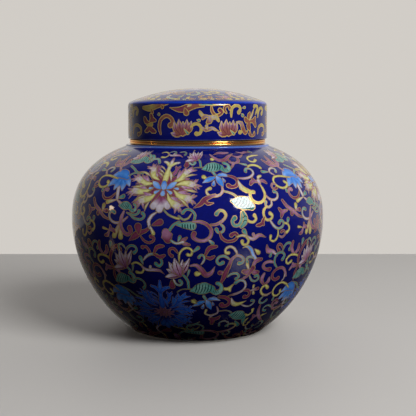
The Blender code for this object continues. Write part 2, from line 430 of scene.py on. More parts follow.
def growth(across, down, rows, spread=1.0):
    """Draws rows of strokes, each by the function that it names, at a place and spread out sideways."""
    for draw, tints, widths, *points in rows:
        draw(tints, widths, *(np.array(point) * (spread, 1) + (across, down) for point in points))


def upper_growth(across, down, flower_at):
    """The growth above each large flower: a lotus, a crescent, a ribbed leaf and the curls between them."""
    growth(across, down, (
        (scroll, "white mint green", 2.2, (-18, 108.5), (-16.8, 112), (-13.8, 113.6), (-11.6, 111.6),
         (-13.2, 110)),
        (drop, "rose", 5, (-19.6, 109.8), (-19.4, 117)),
        (band, "green", [1, 1.3], (-16, 119.5), (-12, 117), (-4, 116.6)),
        (band, "green", [2, 2.4, 2.2], (-12, 104), (-8.5, 107.5), (-7, 111), (-6.8, 116)),
        (drop, "green mint", 2.2, (-7.4, 106.4), (-5.8, 100.6)),
        (scroll, "yellow", 1.9, (-13, 95), (-13, 90), (-10.5, 86), (-6.6, 84.8), (-3.7, 87), (-4.8, 90),
         (-7, 89.6)),
        (drop, "mint green", 3, (-3.4, 88), (1.6, 83.8)),
        (scroll, "yellow", 1.9, (-50.5, 98.8), (-46.5, 97.2), (-42.5, 98.8), (-40.8, 102), (-43, 105),
         (-47, 104.8)),
        (band, "pink white pink rose", [1.6, 2.6, 3, 2.4, 0.4], (-42, 100), (-38, 102.3), (-33, 102),
         (-28, 102.3), (-24.6, 105)),
        (drop, "white", 2.4, (-36, 102.4), (-34.6, 98.4)),
    ))
    lotus(*flower_at)
    ribbed_leaf(across + 3, down + 117)


def lower_growth(across, down, spread=1.0):
    """The growth under each large flower: a white stem, rose leaves, a bud, a pod and a wide loop."""
    growth(across, down, (
        (band, "rose", [2, 3.5, 5.6, 0.4], (-34, 71), (-37, 73.5), (-43, 75.8), (-51, 81.6)),
        (drop, "rose", 6, (-42.4, 76), (-43.6, 68.2)),
        (scroll, "rose", 2, (-41, 77.4), (-39, 80.2), (-35.5, 82), (-32, 81), (-30.8, 78.5), (-33.2, 77.4)),
        (drop, "rose", 5, (-32, 69.4), (-24, 66.2)),
        (band, "white", [1.4, 2.6, 3, 2.4], (-29.5, 60.5), (-33, 63), (-35, 67), (-34, 71.4)),
        (drop, "white yellow", 3.2, (-34, 70), (-30.6, 76.6)),
        (band, "green yellow", [1.4, 1.8], (-24.5, 58), (-21, 61.5), (-17, 63.4), (-13, 64.6)),
        (drop, "green mint", 6.4, (-14.5, 68.4), (-0.6, 69.6)),
        *((vein, "dark", [0.8, 0.9, 0.3], (x, 68.4), (x, 70), (x + 0.3, 71.6))
          for x in (-10.6, -8.7, -6.8, -4.9, -3)),
        (scroll, "green", 2, (-3, 66.5), (-1.6, 62), (-4.4, 58.4), (-8, 58), (-10.4, 60.2)),
        (band, "yellow green", [1, 1.7, 1.6], (-4.4, 61), (-6.4, 64), (-10, 65), (-13.2, 62.6)),
        (band, "green", [1.8, 2.4], (-12.5, 66.5), (-16.5, 68.5), (-19.6, 72.6)),
        (band, "pink rose", [6, 9, 6], (-22.2, 74.2), (-21.4, 76.5), (-20.8, 79)),
        (fork, "pink rose", [1.6, 3, 1.6], (-12, 81), (-7.4, 77.6), (-5.4, 82.6)),
        (band, "mint white", [2, 2, 2.4], (-18.6, 79.8), (-14.8, 81.8), (-10, 80.6)),
        (drop, "mint green", 2.8, (-13.5, 80.4), (-11.8, 75.8)),
        (scroll, "pink rose pink rose", 2.6, (-3.5, 66.5), (1, 66.3), (6, 68), (9.5, 72), (8.8, 77),
         (4.5, 79.7), (0, 79.3), (-3, 77), (-2.4, 74.6)),
        (drop, "white green", 2.9, (7.2, 78.6), (11.6, 82.6)),
        (scroll, "rose pink yellow green", 2.2, (8.6, 68.6), (13, 68.4), (17.5, 66), (20, 62.5),
         (18.5, 59.4), (15.4, 58.8), (13.2, 61.2)),
        (scroll, "mint mint green", 2, (15.5, 68), (18.3, 70.5), (17.5, 73.5), (14.4, 74), (13.2, 71.8)),
        (scroll, "rose", 2.3, (15.5, 74), (17, 78), (21, 80.5), (26, 79.8), (28.2, 77), (26.4, 74.8),
         (23.8, 76.2)),
        (band, "yellow white pink rose", [1.6, 2, 2.2, 3.2, 2.6, 0.4], (28, 77.5), (32, 76.5), (36, 78),
         (40, 79.5), (45, 77), (50.5, 79)),
        (drop, "pink", 2.6, (41.4, 78.8), (39.6, 75)),
        (scroll, "yellow", 2, (34.4, 77.5), (36.6, 80), (35.5, 83), (32.5, 83), (31.8, 80.8)),
        (drop, "mint green", 3.6, (35.2, 76.4), (32, 72)),
    ), spread)


def jar_pattern():
    """One quarter of the jar's wall, from the collar to the foot. The lower row has a blue flower."""
    # left of the upper flower
    ribbed_leaf(-61, 17, -8)
    band("green mint green", [1.6, 2.4, 2.2], (-56, 8), (-52, 10), (-49, 14.5))
    band("mint mint green", [1.6, 2.4, 3], (-47, 17), (-43, 14.8), (-39, 15.4), (-36.4, 19.4))
    band("green", [2, 2, 1.6], (-64, 24), (-58, 27), (-54, 29.6), (-47, 31))
    leaf_cluster(-65.5, 37)
    band("green", [1.6, 2, 1.6], (-60, 33.4), (-56, 30.8), (-50, 30.6))
    fleur("pink rose", (-74, 24), (-89, 17, 4), (-87, 22, 4), (-79, 12.5, 4), (-72, 17, 4.6))
    band("pink rose", [2, 3], (-72.6, 29.4), (-76.6, 24), (-78, 18))
    # the belt between the collar and the flowers, right of the middle
    band("pink rose pink", [1.6, 3.4, 4, 4, 3, 0.4], (13.4, 8), (16.4, 12.4), (21, 16), (27.4, 15.4),
         (32, 11.6), (40, 7))
    band("rose pink", [1, 3, 3.4, 2], (17.4, 8.4), (22.6, 6), (29, 6.2), (35, 5.4))
    drop("yellow", 4.2, (16.6, 15), (12.2, 14.6))
    band("pink rose", [1, 2.6, 2.8, 0.6], (46, 4.6), (52, 6.4), (58, 5), (64, 7))
    drop("mint green", 3, (67, 6), (62.6, 3.6))
    scroll("mint green", 1.8, (-32, 5.6), (-28.4, 3.4), (-24.6, 4.4), (-24, 7))
    scroll("mint green", 1.8, (-20, 5), (-16, 3.6), (-12.4, 5.6), (-13.4, 8.6))
    lotus(-61, 8.6, 0, 0.85)
    band("rose pink rose", [1, 2.6, 2.4, 0.4], (36, 9), (41, 12), (46, 11.6), (51, 8.6))
    fleur("pink rose", (34, 20), (30.8, 15.8, 3), (42, 13.6, 3))
    band("rose pink", [1.2, 3], (29.6, 25.6), (32.4, 22.4), (34.4, 19.4))
    drop("mint", 3, (39.6, 20), (47.4, 22.4))
    scroll("yellow", 2, (70, 10.5), (62, 11), (55, 12.5), (52, 15), (53, 18), (57, 18.7), (60.6, 16.6))
    band("yellow", [1.2, 2.2, 2.8, 3.2], (45, 26.4), (48, 23.2), (53.4, 22.4), (57.4, 23.8), (59, 25.6))
    scroll("pink white green", 2.1, (33, 34.6), (39, 35), (44, 34), (48, 31.5), (49, 28.5), (47, 26),
           (43.4, 26.3), (42, 28.8))
    drop("mint green", 3.2, (65, 30), (57, 29.4))
    scroll("pink white mint", 1.9, (71, 34.4), (66.4, 30.6), (68, 27.5), (72, 26.4), (75, 28.2), (73.4, 30.2))
    scroll("yellow", 2, (87, 36.5), (76, 34.5), (68, 35), (65, 38.5), (67, 42.5), (72, 44.5), (77, 43.5),
           (78.8, 40.8), (76.6, 39.4))
    drop("mint green", 3, (74.6, 44.6), (75.4, 48.4))
    scroll("pink rose", 1.9, (66, 41), (63, 40.4), (61, 42.5), (62.5, 44.9), (65.4, 43.8))
    # between the blue leaf and the bird-like floret
    scroll("pink white yellow", 2, (18.5, 40), (19, 44), (16.5, 47.6), (11, 48.6), (7.4, 47), (6.8, 44),
           (9.6, 42.6))
    cell(
        stroke("pink rose rose rose", [2.2, 3.2, 4, 3.2, 0.4], (13, 47.6), (8.6, 49.2), (5, 51), (2.4, 54),
               (-3, 57)),
        stroke("rose", [2.8, 2.8, 1], (5, 51.8), (7.6, 54), (11.4, 53.4)),
    )
    blue_leaf(16, 36)
    band("mint green", [1.6, 1.8], (20, 45), (25, 46.4), (28.4, 48.6), (31, 52))
    scroll("rose", 2.8, (25, 32.2), (30, 34), (32, 37.5), (30, 41), (26.4, 41.8), (24, 40.6))
    band("white yellow yellow", [1.4, 4.6, 4, 0.3], (32.6, 37), (34, 42), (38, 45), (44, 45.6))
    scroll("mint green", 2.6, (31.4, 60), (31.6, 65), (29.6, 69), (26, 69.4), (24.6, 66.4), (26.4, 64.2))
    scroll("yellow", 2, (34.6, 64.4), (37, 67), (40.4, 67.6), (42.6, 65.4), (41.4, 63))
    band("green mint green", [2.4, 3.6, 4, 2.6], (32.6, 60), (34.4, 64), (33.6, 68), (31, 70.6))
    for rib in (63, 66):
        vein("dark", [0.3, 0.8, 0.3], (32.4, rib + 1.4), (34, rib), (35.6, rib + 0.8))
    ribbed_leaf(32.4, 54.2, 22, 0.98, hook=False)
    scroll("yellow", 2.2, (50.5, 40), (52.3, 45), (52.5, 49), (50, 53), (45.5, 54.3), (41.5, 52.5),
           (39.8, 49), (41, 46.2), (43.2, 46.2))
    fleur("white yellow", (50, 38.4), (55, 33, 2.6))
    fleur("pink rose", (50, 38.4), (57.4, 39.6, 3), (42, 40.2, 3.4), (45.4, 34.8, 2.6))
    band("white pink", [3.4, 2.6], (50.6, 37.4), (50.6, 40))
    scroll("pink white green", 1.9, (53, 49), (56, 52), (60, 52.8), (63.6, 51), (64, 47.6), (61.4, 46.6))
    scroll("white mint", 1.8, (57, 53), (56.8, 56), (54, 57.8), (51.5, 56.5), (52, 54))
    scroll("yellow", 2.1, (52.5, 57), (49.5, 59.5), (49, 63), (51, 66.5), (54.5, 66.5), (56.4, 64),
           (54.4, 62.2))
    scroll("white mint green", 2.1, (54, 67), (57, 71), (61, 73.5), (65, 72.5), (66.5, 69.5), (64, 67.8),
           (62.2, 69.4))
    scroll("yellow", 2, (66.8, 70), (70, 70.5), (72, 73), (71.5, 75.5), (69.4, 76.8))
    drop("mint green", 3.2, (70.4, 70.6), (71.4, 65.8))
    scroll("yellow", 1.8, (61, 74), (61.3, 77), (60, 80.5), (57.5, 82.3), (54.5, 81), (54.6, 78.4))
    scroll("pink rose", 1.8, (62, 78.6), (65, 80), (67.8, 78), (66.5, 75.3), (64.4, 76))
    fleur("rose", (49.4, 64.6), (42.8, 70.4, 3), (48.6, 70.2, 2.6))
    band("rose pink rose", [2.4, 3, 3.2, 2.4, 1.4], (67.6, 53.6), (71.6, 58.5), (77.6, 62), (82.4, 65.6),
         (88, 67.4))
    fleur("pink rose", (71, 61), (62.6, 59.2, 3), (64.4, 65.4, 3.4))
    drop("pink rose", 4, (77, 61.6), (74.6, 65.4))
    drop("white yellow", 4, (80.4, 62), (81.6, 56))
    drop("pink rose", 3.4, (80.4, 61.4), (87, 61.6))
    # the left edge below the blue cluster, seen again at the right
    scroll("pink white green", 2.1, (-52, 64.6), (-57, 68.4), (-63, 69.4), (-67.5, 67.5), (-69, 64),
           (-67, 61.2), (-64, 62))
    drop("pink yellow", 4.4, (-57.6, 68), (-64.8, 80.6))
    drop("pink yellow", 4.6, (-57.6, 68), (-58, 81.4))
    scroll("pink rose", 3, (-55.5, 61), (-57.5, 66), (-57.6, 71), (-55, 75.6), (-51.4, 77), (-49, 74.6),
           (-50, 72.4))
    ribbed_leaf(-55.5, 57, 10, 0.62, ribs=5)
    scroll("green", 2, (-53, 61.6), (-48, 63), (-44, 62), (-43, 60))
    scroll("green", 2, (-50, 63), (-46, 65.4), (-40.6, 65.6), (-38.4, 63), (-40, 61.4))
    fleur("pink rose", (-68.6, 75.2), (-62.8, 76.4, 3), (-67.6, 71.6, 2.6), (-73, 79.4, 3))
    drop("yellow", 2.2, (-69, 75), (-76, 73.8))
    # the belt between the two rows, right of the middle
    fleur("rose", (5, 91), (13.6, 83.6, 3.2), (12, 91, 2.8))
    scroll("mint green", 2.2, (23, 93.5), (19.5, 91), (15.5, 91.5), (13.8, 94.5), (15.8, 97), (18.2, 95.8))
    scroll("white yellow", 2, (28.5, 90), (26.5, 86), (23, 84.2), (20, 85.8), (20, 88.5), (22, 88.8))
    scroll("pink green", 2.3, (25.4, 92.4), (28, 91), (31, 91.4), (33.4, 93.6), (33, 96.5), (30.4, 96.8))
    drop("pink rose", 3.6, (21, 104), (14.6, 103.4))
    band("pink rose rose rose", [2, 2.8, 3.2, 4.4, 3, 1.8], (27, 91.6), (24.5, 93.8), (23.3, 98), (21, 103),
         (19, 109), (16.4, 113.6))
    scroll("mint green", 2, (22.5, 107), (25, 105), (29, 104.5), (31.3, 107), (29.4, 109))
    band("yellow sky pale white", [0.4, 2.8, 3, 3, 2], (32.5, 85.5), (36, 84.6), (39.3, 87.5), (41.3, 92),
         (45.5, 96.3))
    drop("yellow", 3.6, (42, 87), (46.4, 91))
    drop("white yellow", 2.8, (38.8, 102.6), (36.4, 96.6))
    fleur("pink rose", (41, 101.6), (34, 103.4, 4.2), (47, 105, 4), (48.4, 94.6, 3.6))
    band("rose pink", [4, 2.6, 2.2, 1.4], (42, 101), (39, 106), (35.5, 109), (31, 110.6))
    scroll("mint green", 1.8, (41.5, 93.5), (38.5, 92.3), (36, 93.8), (36.8, 96.3))
    scroll("mint green", 1.9, (40, 107), (42, 110.5), (45.5, 112), (48.3, 110), (47, 107.3), (45, 108))
    scroll("rose white green", 2.1, (25, 123.3), (31, 121.7), (36, 119.5), (38.3, 115.5), (36.5, 111.5),
           (32.5, 110.3), (29.4, 112.4))
    fleur("yellow", (27.6, 113.6), (19.4, 116.6, 3), (25.8, 119.4, 2.8))
    scroll("rose", 2.6, (37.5, 119.3), (41, 119.3), (43.5, 122), (42, 125.3), (39.4, 125))
    drop("white yellow", 2.4, (45.6, 119.6), (45.4, 114.6))
    drop("white yellow", 2.8, (45.6, 119.6), (47.8, 124))
    drop("white rose", 3.2, (43, 120), (51.4, 118.4))
    scroll("pink rose", 2.5, (60, 98.5), (56, 97.3), (52, 98), (50.5, 100.5), (53, 103), (57, 103.5))
    band("rose pink white", [1, 4.4, 3, 1.6], (51.6, 84.6), (53, 89), (57.5, 90), (62, 93.4))
    drop("mint green", 2.8, (56.6, 90), (55.2, 94.4))
    scroll("green", 2.1, (64, 103), (60.6, 99), (60.4, 94.5), (63, 91.5), (67, 91.5), (69.5, 94), (68, 96.8))
    scroll("green", 2, (66.5, 91.5), (67.5, 88), (70, 85.3), (73.5, 85), (75.3, 87.5), (73.8, 89.8))
    scroll("rose", 2, (67, 88.8), (65, 85.7), (62.3, 85), (61.2, 87.5), (63, 89.6))
    band("white", [1.4, 1.8, 1.4], (73.8, 108), (75, 112), (73, 115.6))
    scroll("pink rose rose", 2.4, (77, 111.4), (73.5, 106.5), (69.5, 103.5), (64.5, 104), (61, 107),
           (61.8, 111), (65.5, 112.8), (68, 111.8))
    fleur("pink rose", (80, 94), (77, 84, 3.4), (85, 87, 3.4))
    scroll("yellow", 2, (88, 98), (84, 95.3), (77.5, 94.3), (73, 96.3), (72.8, 99.5), (75.5, 101),
           (78.3, 99.5))
    fleur("rose pink", (54.6, 116), (52.6, 106.4, 3.4), (58.8, 110.4, 3))
    scroll("pink yellow yellow", 2.3, (66, 123.5), (62, 125.8), (57.5, 125.3), (54, 122), (54, 118.5),
           (57, 116.8), (59.6, 119))
    # the belt between the two rows, left of the middle
    scroll("rose", 2.9, (-67.6, 104), (-70.4, 98), (-69, 93), (-66, 88.6), (-62, 86), (-59.4, 88.8))
    fleur("rose pink", (-69, 103.6), (-76.6, 101.4, 3), (-78.6, 106.4, 2.8), (-63.4, 106.4, 3.8))
    band("rose", [1.6, 3, 2], (-68, 116), (-69.6, 110), (-68.4, 104))
    drop("mint green", 3.4, (-68.6, 88), (-67.4, 82.6))
    scroll("rose green green", 2, (-55, 92.6), (-53.4, 88), (-50, 85), (-46, 85.3), (-44.8, 88), (-47.2, 90))
    scroll("mint green", 1.7, (-54.4, 87), (-57, 84.4), (-60.4, 85.2), (-60, 88))
    drop("mint green", 2.2, (-50.6, 104.6), (-49, 98.6))
    band("green", [2, 2.4, 2], (-56, 100.5), (-52.6, 104), (-51.4, 110))
    lotus(-56, 95)
    ribbed_leaf(-63, 112, -10, 0.85)
    scroll("green", 2, (-52, 112), (-47.5, 109.8), (-43, 111.6), (-41.8, 115.4), (-43.6, 117.6))
    scroll("rose", 2.1, (-34.3, 91), (-34.8, 87.8), (-37, 85), (-40, 85.4))
    scroll("white green green", 2.3, (-40, 95), (-36.5, 91.3), (-31.5, 89.8), (-27.5, 92), (-25.8, 96),
           (-28, 98.8), (-30.4, 97.2))
    drop("mint green", 3.4, (-40.6, 98), (-42.8, 91.6))
    fleur("rose", (-31.6, 89.8), (-23.8, 83.6, 3), (-23.2, 90.6, 3))
    scroll("rose", 2.1, (-14, 88.6), (-16.5, 85.5), (-19.5, 86), (-20, 89), (-18.2, 90.8))
    upper_growth(0, 0, (-12.5, 99))
    band("pink rose pink", [1.6, 3, 4, 4.4, 3, 0.4], (-5, 98), (-1, 97.5), (2.5, 100.5), (6, 105),
         (10, 103.5), (12.7, 98.5))
    drop("yellow", 4.4, (2.4, 104), (-2.6, 104.2))
    scroll("white mint green", 1.8, (2.5, 97), (4.6, 94), (4.6, 91), (2.5, 89.8), (1, 91.6))
    upper_growth(9.6, -92.6, (-0.6, 9.4, 0, 0.95))
    # the lower row
    leaf_cluster(-66, 127, 7)
    scroll("yellow", 2.1, (87, 123), (80.5, 118.5), (74, 116.3), (68.5, 118.5), (67, 123), (69.5, 127),
           (74, 128.2), (77, 126), (75.8, 123.6))
    drop("mint green", 3.2, (71, 128.6), (71.6, 133))
    scroll("white green", 1.9, (38, 132), (42, 134), (46.5, 134.8), (50, 132.5), (50, 129.8), (47.4, 129.4))
    scroll("mint green", 2.1, (58.4, 126.6), (56, 129.5), (57, 132.5), (61, 133.3), (63.6, 131))
    scroll("rose", 3.2, (17, 123.6), (23, 124.6), (27, 128), (26, 131.5), (22.4, 132.8), (20.4, 131.2))
    band("white yellow yellow", [1.4, 4.6, 3.6, 0.3], (28, 125.6), (30.5, 130.5), (35.5, 131.6), (42.4, 129))
    scroll("pink white yellow", 2, (16.6, 133), (18.4, 138), (15.5, 140.9), (10, 141.4), (6.8, 139.4),
           (7.6, 136.4))
    band("white pink", [2, 2.4], (15, 141), (12, 143), (11.6, 146))
    fleur("rose", (12, 145), (14, 151.4, 4.8), (21, 143.4, 3.6))
    blue_leaf(8, 130)
    drop("yellow", 3.6, (-0.6, 129.6), (-5.6, 126.6))
    band("green mint", [1.2, 1.6], (20, 137.5), (26, 137.2), (31, 139.6))
    drop("green", 5.4, (44, 146), (51, 155))
    drop("green", 4.4, (38, 150), (45.4, 157))
    ribbed_leaf(38, 144, 22, hook=False)
    scroll("yellow", 2.4, (46, 143), (49.5, 144.6), (53, 142), (52.6, 139))
    band("rose pink rose", [2.2, 3.4, 3.6, 3, 1.4], (59, 135.6), (60, 141), (63.6, 146.5), (68.6, 151),
         (75, 155))
    fleur("pink rose", (62.6, 146), (56, 145.6, 3), (57, 152, 3.4))
    scroll("pink rose", 2.1, (86, 141), (80, 141.6), (75, 138.6), (73.4, 134.6), (76.4, 132), (79, 133.6))
    scroll("mint green", 2, (75, 139.4), (69.6, 136.8), (65.4, 138), (65.8, 141.6), (69, 142.2))
    drop("yellow", 3, (74, 146), (67, 148))
    scroll("white green", 2, (32.6, 157), (31.4, 151.6), (26.4, 148.8), (22, 150.8), (22.4, 154))
    band("green", [2, 2, 1.6], (-64, 119), (-58, 121.4), (-53, 125), (-47, 127))
    scroll("white mint green", 2, (55, 158), (58, 162), (63, 164), (66.6, 161), (64.6, 158.6))
    scroll("yellow", 2, (52, 148), (49.6, 152), (51, 156.6), (55, 156.6), (56, 153.8))
    lower_growth(0, 0)
    lower_growth(9, 94, 1.6)
    scroll("green", 2.2, (2, 149), (-3.4, 152.6), (-8.4, 153), (-11.4, 156.6), (-9.6, 160.6), (-5.6, 160.6),
           (-4.6, 157.8))
    scroll("mint green", 2.2, (-73, 145), (-71, 151), (-65, 154.6), (-59, 152.6), (-59.6, 148.4),
           (-63, 148.4))
    drop("rose", 3.6, (-65.6, 155), (-69.6, 162))
    drop("yellow", 3.2, (-62, 155), (-59.6, 161))
    scroll("mint green", 2.2, (69, 160), (73.6, 155.6), (79, 157), (80, 162), (75.6, 164))
    fleur("rose", (64, 170), (55, 165.6, 3.6), (58, 175, 3.2), (72, 167, 3.6))
    flower(-26, 41, "cream", "white", "pink", "mauve", "rose", "sky pale")
    blue_flower_start = len(sheet_cells)
    flower(-30.5, 138, "deep", "slate", "slate", "deep", "night", "mauve pink", -2, stamens=True,
           fullness=0.8)
    blue_flower = sheet_cells[blue_flower_start:]
    sheet_cells[blue_flower_start:] = [(parts, min(gold, FINE_GOLD_LINE)) for parts, gold in blue_flower]


# The inlay
# An enamel lies flush with the glaze round it, so the drawn cells are cut into the wall's own faces.
# Only the borders that show are cut, and the points between them keep the wall smoothly curved.
GROUND = -1
GILT = -2
LONGEST_EDGE = 6
STRAIGHT_WITHIN = 0.035
FILL_CLEARANCE = 1.6
SPINE_CLEARANCE = 0.45
THIN_STROKE = 0.6


def inside(outline, spots):
    """Which spots lie inside a closed outline, by how often it winds round them."""
    found = np.zeros(len(spots), bool)
    low, high = outline.min(axis=0), outline.max(axis=0)
    near = np.flatnonzero(((spots > low) & (spots < high)).all(axis=1))
    if not len(near):
        return found
    x, y = spots[near, 0][:, None], spots[near, 1][:, None]
    a, b = outline, np.roll(outline, -1, axis=0)
    left = (b[:, 0] - a[:, 0]) * (y - a[:, 1]) - (x - a[:, 0]) * (b[:, 1] - a[:, 1])
    up = (a[:, 1] <= y) & (b[:, 1] > y) & (left > 0)
    down = (a[:, 1] > y) & (b[:, 1] <= y) & (left < 0)
    found[near] = (up.sum(axis=1) - down.sum(axis=1)) != 0
    return found


def pattern_shapes(cells, keep):
    """The cells' outlines from the bottom one up, each with the part it belongs to, or None for its gold."""
    shapes = []
    for parts, gold in cells:
        if gold:
            shapes += [(rim(part, 0.0), None) for part in parts]
        shapes += [(rim(part, gold), part) for part in parts]
    return [(outline, part) for outline, part in shapes if keep(outline)]


def labelled(shapes, spots, allowed):
    """The topmost shape over each spot: its number, GILT for an outline's gold or GROUND for bare glaze."""
    labels = np.full(len(spots), GROUND)
    for number, (outline, part) in enumerate(shapes):
        labels[inside(outline, spots) & allowed] = GILT if part is None else number
    return labels


def cut_up(points, edges, apart=1e-4):
    """A sheet of triangles through the points that keeps every edge. Points nearer than apart become one."""
    corners, ties = [Vector(p) for p in points], [tuple(map(int, edge)) for edge in edges]
    places, _, faces, *_ = geometry.delaunay_2d_cdt(corners, ties, [], 0, apart, False)
    places, faces = np.array([tuple(v) for v in places]), np.array(faces)
    a, b, c = (places[faces[:, k]] for k in range(3))
    area = (b[:, 0] - a[:, 0]) * (c[:, 1] - a[:, 1]) - (b[:, 1] - a[:, 1]) * (c[:, 0] - a[:, 0])
    faces[area < 0] = faces[area < 0][:, ::-1]
    return places, faces


def straightened(places, edges, fixed):
    """Leaves out the points on a straight run between their two neighbours, apart from the fixed ones."""
    beside = [set() for _ in places]
    for a, b in edges.tolist():
        beside[a].add(b)
        beside[b].add(a)
    for number in range(len(places)):
        if fixed[number] or len(beside[number]) != 2:
            continue
        a, b = beside[number]
        (x, y), (left, low), (right, high) = places[number], places[a], places[b]
        span = math.hypot(right - left, high - low)
        off = abs((left - x) * (high - y) - (low - y) * (right - x))
        if b in beside[a] or span > LONGEST_EDGE or off > STRAIGHT_WITHIN * span:
            continue
        beside[a] ^= {number, b}
        beside[b] ^= {number, a}
        beside[number] = set()
    edges = np.array([(a, b) for a in range(len(places)) for b in beside[a] if a < b])
    used, edges = np.unique(edges, return_inverse=True)
    return places[used], edges.reshape(-1, 2)


def inlay(shapes, frame_points, frame_edges, within, drawn_in, fill_points):
    """Cuts a flat sheet along every outline that shows.

    frame_points and frame_edges bound the sheet, within says which spots are on it, drawn_in where enamel
    may lie, and fill_points are spread over it so that it bends smoothly. Returns places, faces and labels.
    """
    points, edges = [np.array(frame_points, float)], [np.array(frame_edges, int)]
    count = len(frame_points)
    for outline, _ in shapes:
        points.append(outline)
        ring = np.arange(len(outline)) + count
        edges.append(np.stack([ring, np.roll(ring, -1)], 1))
        count += len(outline)
    places, faces = cut_up(np.vstack(points), np.vstack(edges))
    middles = places[faces].mean(axis=1)
    on_sheet = within(middles)
    faces, middles = faces[on_sheet], middles[on_sheet]
    labels = labelled(shapes, middles, drawn_in(middles))
    # only the borders between two labels, and the sheet's own, stay
    sides = np.sort(np.vstack([faces[:, [0, 1]], faces[:, [1, 2]], faces[:, [2, 0]]]), axis=1)
    owner = np.tile(labels, 3)
    order = np.lexsort((sides[:, 1], sides[:, 0]))
    sides, owner = sides[order], owner[order]
    same = (sides[1:] == sides[:-1]).all(axis=1)
    first = np.flatnonzero(np.concatenate([[True], ~same]))
    last = np.append(first[1:], len(sides)) - 1
    border = (owner[first] != owner[last]) | (first == last)
    kept = sides[first[border]]
    used, kept = np.unique(kept, return_inverse=True)
    kept = kept.reshape(-1, 2)
    fixed = np.zeros(len(used), bool)
    fixed[kept[(first == last)[border]]] = True
    base, kept = straightened(places[used], kept, fixed)
    tree = kdtree.KDTree(len(base))
    for number, place in enumerate(base):
        tree.insert((place[0], place[1], 0), number)
    tree.balance()
    extra = [p for p in fill_points if tree.find((*p, 0))[2] > FILL_CLEARANCE]
    for number, (_, part) in enumerate(shapes):
        if part is not None and part["half"].max() > THIN_STROKE:
            line = part["line"][1:-1]
            shown = labelled(shapes, line, drawn_in(line)) == number
            extra += [p for p in line[shown & within(line)] if tree.find((*p, 0))[2] > SPINE_CLEARANCE]
    places, faces = cut_up(np.vstack([base, np.array(extra)]), kept)
    middles = places[faces].mean(axis=1)
    on_sheet = within(middles)
    faces, middles = faces[on_sheet], middles[on_sheet]
    return places, faces, labelled(shapes, middles, drawn_in(middles))


def enamel_colours(shapes, labels, corners):
    """The colour at every face's corners, from the tints along its stroke and how near its middle it lies."""
    colours = np.tile(np.array((*COBALT, 1.0)), (*corners.shape[:2], 1))
    colours[labels == GILT] = (*GOLD, 1)
    for number in np.unique(labels[labels >= 0]):
        part = shapes[number][1]
        chosen = labels == number
        spots = corners[chosen].reshape(-1, 2)
        away = np.hypot(*(spots[:, None] - part["line"][None]).transpose(2, 0, 1))
        nearest = away.argmin(axis=1)
        reach = np.maximum(part["half"][nearest], THINNEST_FADE)
        off = np.clip(away.min(axis=1) / reach, 0, 1)[:, None] ** EDGE_FADE
        stops = np.linspace(0, 1, len(part["tints"]))
        tones = np.array([TINTS[name] for name in part["tints"]])
        run = part["run"][nearest]
        edge, core = (
            np.stack([np.interp(run, stops, tones[:, tone, channel]) for channel in range(3)], 1)
            for tone in (0, 1)
        )
        colours[chosen, :, :3] = (core + (edge - core) * off).reshape(-1, 3, 3)
    return colours


# The turning and the finishes
# The jar's flat sheet, enamels and all, is laid on its turned outline, and goes round the axis four times.
# Glaze and enamels are glass, and the lines are fired gold. The foot ring is wiped bare before firing.
THIN_GLAZE = (0.12, 0.24, 0.62)
# partly painted highlight: the collar's round edge is pale where the glaze thins, and lighter still for the
# light it catches
COLLAR_GLAZE_AND_HIGHLIGHT = (0.09, 0.19, 0.60)
NECK_GLAZE = (0.03, 0.07, 0.38)
WHITE_GLAZE = (0.72, 0.73, 0.72)
BARE_CLAY = (0.62, 0.58, 0.52)
FINISHES = ("Glaze", "Gilt", "Bare clay")
FINISH_GLAZE, FINISH_GILT, FINISH_CLAY = range(3)
ROUND = 96
MERGE_WITHIN = 3e-6
SHARP_FROM = math.radians(35)
# how often the unevenness of each finish comes round, in a metre
GLAZE_CLOUDS = 420
GLAZE_WAVES = 130
GOLD_WEAR = 300
CLAY_GRAIN = 900
# how matt each finish is, from 0 to 1
GLAZE_ROUGHNESS = 0.06
GOLD_ROUGHNESS = 0.42
CLAY_ROUGHNESS = 0.8


def in_scene(name, data):
    """A new object at the origin that holds some data."""
    made = bpy.data.objects.new(name, data)
    bpy.context.scene.collection.objects.link(made)
    return made


class Sheet:
    """A flat sheet of faces with their finishes, colours and places on the picture that an export bakes."""

    def __init__(self):
        self.places, self.faces, self.finishes, self.colours, self.maps, self.discs = [], [], [], [], [], []
        self.count = 0

    def add(self, places, faces, finishes, colours, maps, disc=False):
        """Adds faces, each with its finish, its corners' colours and their places on the baked picture."""
        self.places.append(np.array(places, float))
        self.discs += [disc] * len(places)
        for face, finish, colour, spot in zip(faces, finishes, colours, maps):
            self.faces.append([int(i) + self.count for i in face])
            self.finishes.append(int(finish))
            self.colours += [tuple(c) for c in colour]
            self.maps += [tuple(m) for m in spot]
        self.count += len(places)

    def as_object(self, name):
        """The sheet as a mesh object that the turning can read."""
        mesh = bpy.data.meshes.new(name)
        mesh.from_pydata([tuple(p) for p in np.vstack(self.places)], [], self.faces)
        mesh.attributes.new("finish", "INT", "FACE").data.foreach_set("value", self.finishes)
        mesh.attributes.new("on disc", "BOOLEAN", "POINT").data.foreach_set("value", self.discs)
        paint = mesh.attributes.new("paint", "FLOAT_COLOR", "CORNER")
        paint.data.foreach_set("color", np.array(self.colours, float).ravel())
        spots = mesh.uv_layers.new(name="OFBake")
        spots.data.foreach_set("uv", np.array(self.maps, float).ravel())
        mesh.update()
        return in_scene(name, mesh)


def all_glaze(low, high):
    """The same finish between any two lengths."""
    return FINISH_GLAZE


